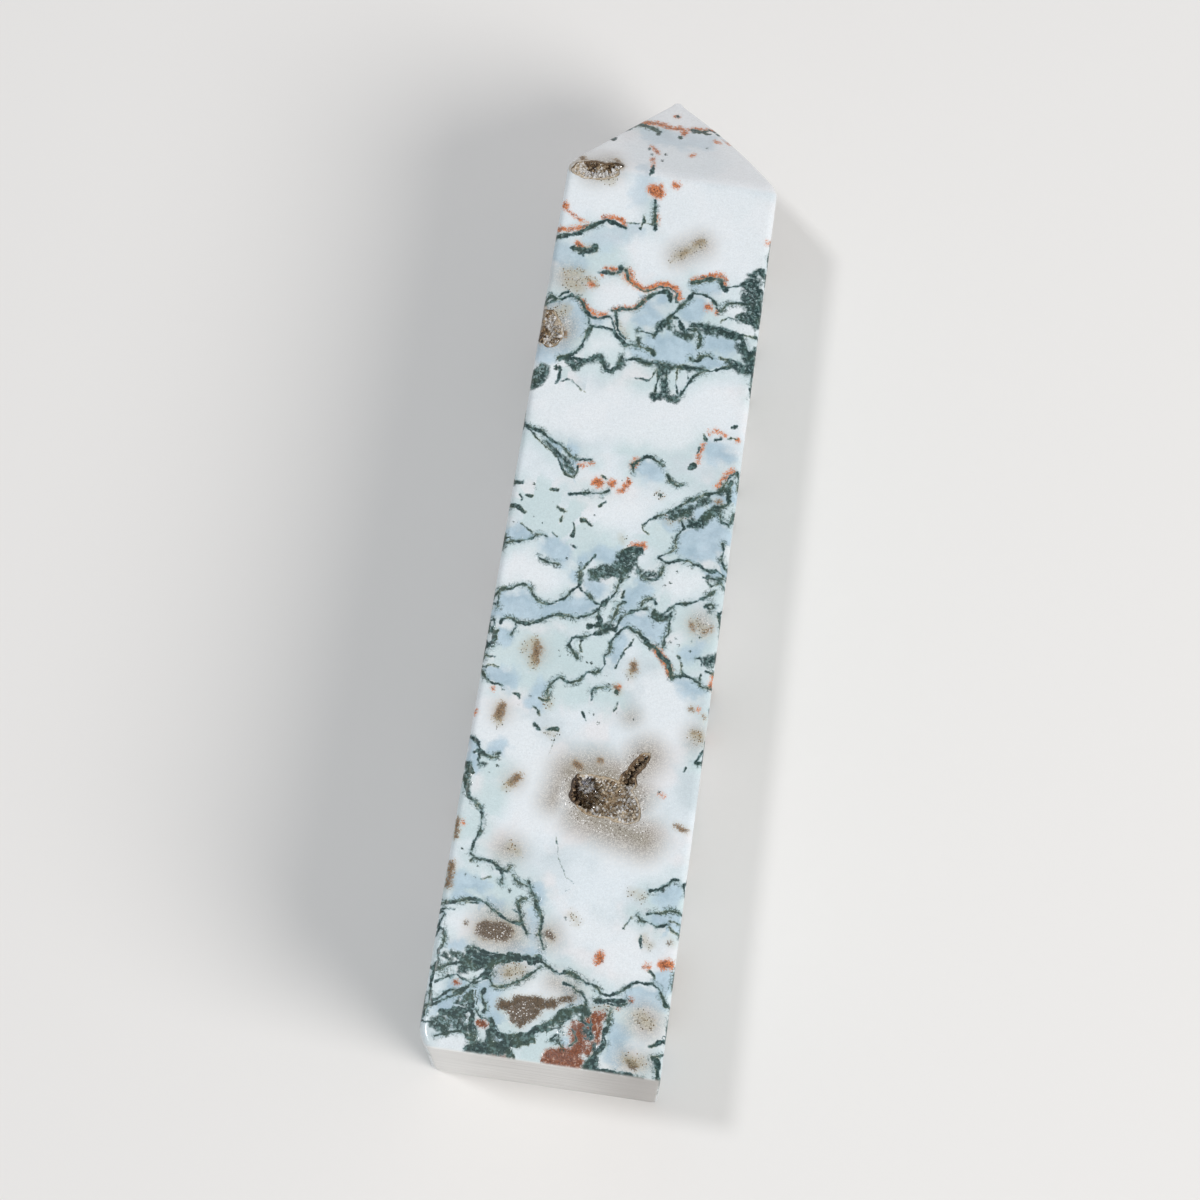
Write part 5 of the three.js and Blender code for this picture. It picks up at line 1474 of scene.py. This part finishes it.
def grown_crust(name, lobes, count, widths, tones, seed):
    """The lining and its crystals as one piece, with a tone from 0, smoky, to 1, clear; the tones may
    also hold painted shade.
    """
    growth = np.random.default_rng(seed)
    shell = lining(name, lobes)
    wall = hollow_form("wall_to_grow_on", lobes, lining_gap + lining_thickness * root_share)
    spots = [(face.center.copy(), face.normal.copy(), face.area) for face in wall.data.polygons]
    bpy.data.objects.remove(wall)
    spots = [
        spot for spot in spots
        if max(abs(spot[0].x), spot[0].z) < upper_surface(spot[0].y) - rim_gap
    ]
    weights = np.array([spot[2] for spot in spots])
    picks = growth.choice(len(spots), size=count, p=weights / weights.sum())
    points = list(mesh_points(shell.data))
    faces = [tuple(face.vertices) for face in shell.data.polygons]
    shades = [
        min(tones(*point), lining_clearest) + growth.normal(*lining_shade) for point in points
    ]
    for pick in picks:
        root, normal, _ = spots[pick]
        root = np.array(root)
        sway = growth.normal(0, crystal_sway, 3)
        aim = -np.array(normal) + sway + np.array([0, 0, crystal_lift])
        aim /= np.linalg.norm(aim)
        width = growth.uniform(*widths) * growth.uniform(*width_shares)
        length = width * growth.uniform(*length_shares)
        for rise, place_on in ((aim[2], root[2]), (aim[0], root[0]), (-aim[0], -root[0])):
            room = upper_surface(root[1]) - below_polish - point_gap - place_on
            if rise > 0 and length * rise + width * half_stump > room:
                length = max((room - width * half_stump) / rise, 0)
        if length < least_length_share * width:
            continue
        made, made_faces = crystal(root, aim, width, length, growth.uniform(0, math.pi))
        first = len(points)
        points.extend(made)
        faces.extend(tuple(first + corner for corner in face) for face in made_faces)
        tone = tones(*root) + growth.normal(0, tone_spread)
        tone = min(max(tone, 0), clearest) if tone < blue_tone else growth.uniform(*blue_clearness)
        shades.extend([tone] * len(made))
    old = shell.data
    mesh = bpy.data.meshes.new(name)
    mesh.from_pydata([tuple(point) for point in points], [], faces)
    shell.data = mesh
    bpy.data.meshes.remove(old)
    shell.name = name
    paint(mesh, "clearness_and_shade", np.array(shades))
    place_in_frame(shell)
    mesh.shade_flat()
    mesh.materials.append(druse_quartz)
    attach(shell, "root")
    return shell


darkest_crystal = (0.06, 0.042, 0.03)
crystal_tones = (
    (0.3, (0.24, 0.155, 0.085)), (0.5, (0.43, 0.325, 0.205)), (0.7, (0.64, 0.54, 0.40)),
    (0.85, (0.86, 0.84, 0.80)), (0.92, (0.88, 0.87, 0.86)),
)
clearest_crystal = (0.72, 0.74, 0.84)
crystal_dust = (0.24, 0.17, 0.12)
druse_quartz, tree, shader = new_material("quartz_druse")
place = millimetres(tree)
tone = painted(tree, "clearness_and_shade").outputs["Fac"]
bands = add_node(tree, "ShaderNodeValToRGB", {"Fac": tone})
ramp = bands.color_ramp
ramp.elements[0].color = (*darkest_crystal, 1)
ramp.elements[1].color = (*clearest_crystal, 1)
for position, tint in crystal_tones:
    ramp.elements.new(position).color = (*tint, 1)
dust = grain(tree, place, scale=3.0, detail=3)
dust_share = eased(tree, dust, 0.0, 0.2, 0.0, 0.45)
colour = tinted(tree, dust_share, bands.outputs[0], crystal_dust)
tree.links.new(colour, shader.inputs["Base Color"])
rough = calc(tree, "MULTIPLY_ADD", dust, 0.2, 0.14)
tree.links.new(rough, shader.inputs["Roughness"])
ripple = add_node(tree, "ShaderNodeBump", {"Height": dust, "Strength": 0.3, "Distance": 0.05 * MM})
tree.links.new(ripple.outputs[0], shader.inputs["Normal"])
shader.inputs["IOR"].default_value = 1.544
shader.inputs["Transmission Weight"].default_value = 0.2

blue_crystals_at = (0.7, 38.9)
blue_crystals_reach = 1.2
blue_mark = 2.0
slot_left = 5.2
slot_start = 39.2
slot_end = 43.4
slot_darkening = 0.5
middle_tone = 0.67
middle_across = 2.5
# Painted shade darkens the crystals on the left and deep down; painted light pales the right wall
painted_light_to_right = 0.03
unshaded_depth = 1.2
painted_shade_with_depth = 0.08
painted_shade_left_of = -0.3
painted_shade_on_left = 0.5


def main_vug_tone(x, along, z):
    """Dark on the left and deep down, as painted shade; paler to the right and near the rim, as
    painted light.
    """
    depth = upper_surface(along) - z
    if math.dist((x, along), blue_crystals_at) < blue_crystals_reach:
        return blue_mark
    slot = slot_darkening if x > slot_left and slot_start < along < slot_end else 0.0
    tone = middle_tone + painted_light_to_right * (x - middle_across)
    tone -= painted_shade_with_depth * max(depth - unshaded_depth, 0)
    return tone - painted_shade_on_left * (x < painted_shade_left_of) - slot


main_crust = grown_crust(
    "main_vug_druse", main_vug_lobes, count=2200, widths=(0.2, 0.46), tones=main_vug_tone, seed=3,
)
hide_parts("main_vug_crystals")

# The crust of the shallow hollow at the shoulder: short whitish quartz crystals, stained brown by
# iron along the upper edge. They grew fast to the wall, as in the large hollow.
pocket_tone = 0.92
shoulder_brown_from = 125.2
shoulder_brown_wave = (0.7, 2.3)
shoulder_browning = 0.6
shoulder_smoky_from = -8.6
shoulder_smokiness = 0.15


def shoulder_tone(x, along, z):
    wave, pace = shoulder_brown_wave
    brown = along > shoulder_brown_from + wave * math.sin(pace * x)
    return pocket_tone - shoulder_browning * brown - shoulder_smokiness * (x > shoulder_smoky_from)


shoulder_crust = grown_crust(
    "shoulder_pocket_druse", shoulder_pocket_lobes, count=600, widths=(0.2, 0.42),
    tones=shoulder_tone, seed=5,
)
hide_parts("shoulder_pocket_crystals")

# The crust of the hollow at the left long edge: pale quartz crystals, stained brown by iron along
# the lower left wall. They grew fast to the wall, and stay below the polished faces.
edge_brown_from = -14.2
edge_brown_wave = (0.5, 2.2)
edge_browning = 0.5
edge_smoky_from = 99.8
edge_smokiness = 0.3


def edge_tone(x, along, z):
    wave, pace = edge_brown_wave
    brown = x < edge_brown_from + wave * math.sin(pace * along)
    return pocket_tone - edge_browning * brown - edge_smokiness * (along < edge_smoky_from)


edge_crust = grown_crust(
    "edge_pocket_druse", edge_pocket_lobes, count=600, widths=(0.2, 0.42),
    tones=edge_tone, seed=9,
)
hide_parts("edge_pocket_crystals")

# The plain pale ground that the stone lies on
ground_size = 1.6
ground_colour = (0.80, 0.79, 0.775)
ground_roughness = 0.9
ground_gloss = 0.2
half_ground = ground_size / 2
corners = [(-half_ground, -half_ground, 0), (half_ground, -half_ground, 0)]
corners += [(half_ground, half_ground, 0), (-half_ground, half_ground, 0)]
ground = mesh_object("ground", corners, [(0, 1, 2, 3)])
pale, tree, shader = new_material("pale_ground")
shader.inputs["Base Color"].default_value = (*ground_colour, 1)
shader.inputs["Roughness"].default_value = ground_roughness
shader.inputs["Specular IOR Level"].default_value = ground_gloss
ground.data.materials.append(pale)

# Soft studio light: a small high key from the left and a broad soft light from the lower right
key_aim = (-0.328, 0.032, 1.0)
key_distance = 1.6
key_size = 0.16
key_power = 5.7
key_colour = (0.985, 0.985, 1.0)
soft_aim = (0.95, -0.45, 0.85)
soft_distance = 1.5
soft_size = 0.9
soft_power = 14.5
soft_colour = (1.0, 0.97, 0.94)
room_colour = (0.95, 0.97, 1.0)
room_brightness = 0.445


def add_light(name, aim, distance, size, power, colour):
    light = bpy.data.lights.new(name, "AREA")
    light.shape = "DISK"
    light.size = size
    light.energy = power
    light.color = colour
    lamp = bpy.data.objects.new(name, light)
    aim = Vector(aim).normalized()
    lamp.location = aim * distance
    lamp.rotation_euler = aim.to_track_quat("Z", "Y").to_euler()
    bpy.context.scene.collection.objects.link(lamp)
    return lamp


add_light("key_light", key_aim, key_distance, key_size, key_power, key_colour)
soft_light = add_light("soft_light", soft_aim, soft_distance, soft_size, soft_power, soft_colour)
soft_light.visible_glossy = False
world = bpy.data.worlds.new("studio")
bpy.context.scene.world = world
world.use_nodes = True
background = world.node_tree.nodes["Background"]
background.inputs["Color"].default_value = (*room_colour, 1)
background.inputs["Strength"].default_value = room_brightness
bpy.context.scene.view_settings.view_transform = "Standard"

# The camera looks down on the stone from a little before the sawn end
sensor_width = 36.0
focal_share = 3.375
view_distance = 584.6
view_tilt = math.radians(11.22)
view_turn = math.radians(8.47)
view_aim = Vector((-2.08, -0.34, 0.0))
nearest_seen = 0.01
farthest_seen = 20
camera_data = bpy.data.cameras.new("camera")
camera_data.sensor_width = sensor_width
camera_data.lens = sensor_width * focal_share
camera_data.clip_start = nearest_seen
camera_data.clip_end = farthest_seen
camera = bpy.data.objects.new("camera", camera_data)
camera.rotation_euler = (view_tilt, 0, view_turn)
look = Vector((
    -math.sin(view_turn) * math.sin(view_tilt),
    math.cos(view_turn) * math.sin(view_tilt),
    -math.cos(view_tilt),
))
camera.location = (view_aim - look * view_distance) * MM
bpy.context.scene.collection.objects.link(camera)
bpy.context.scene.camera = camera
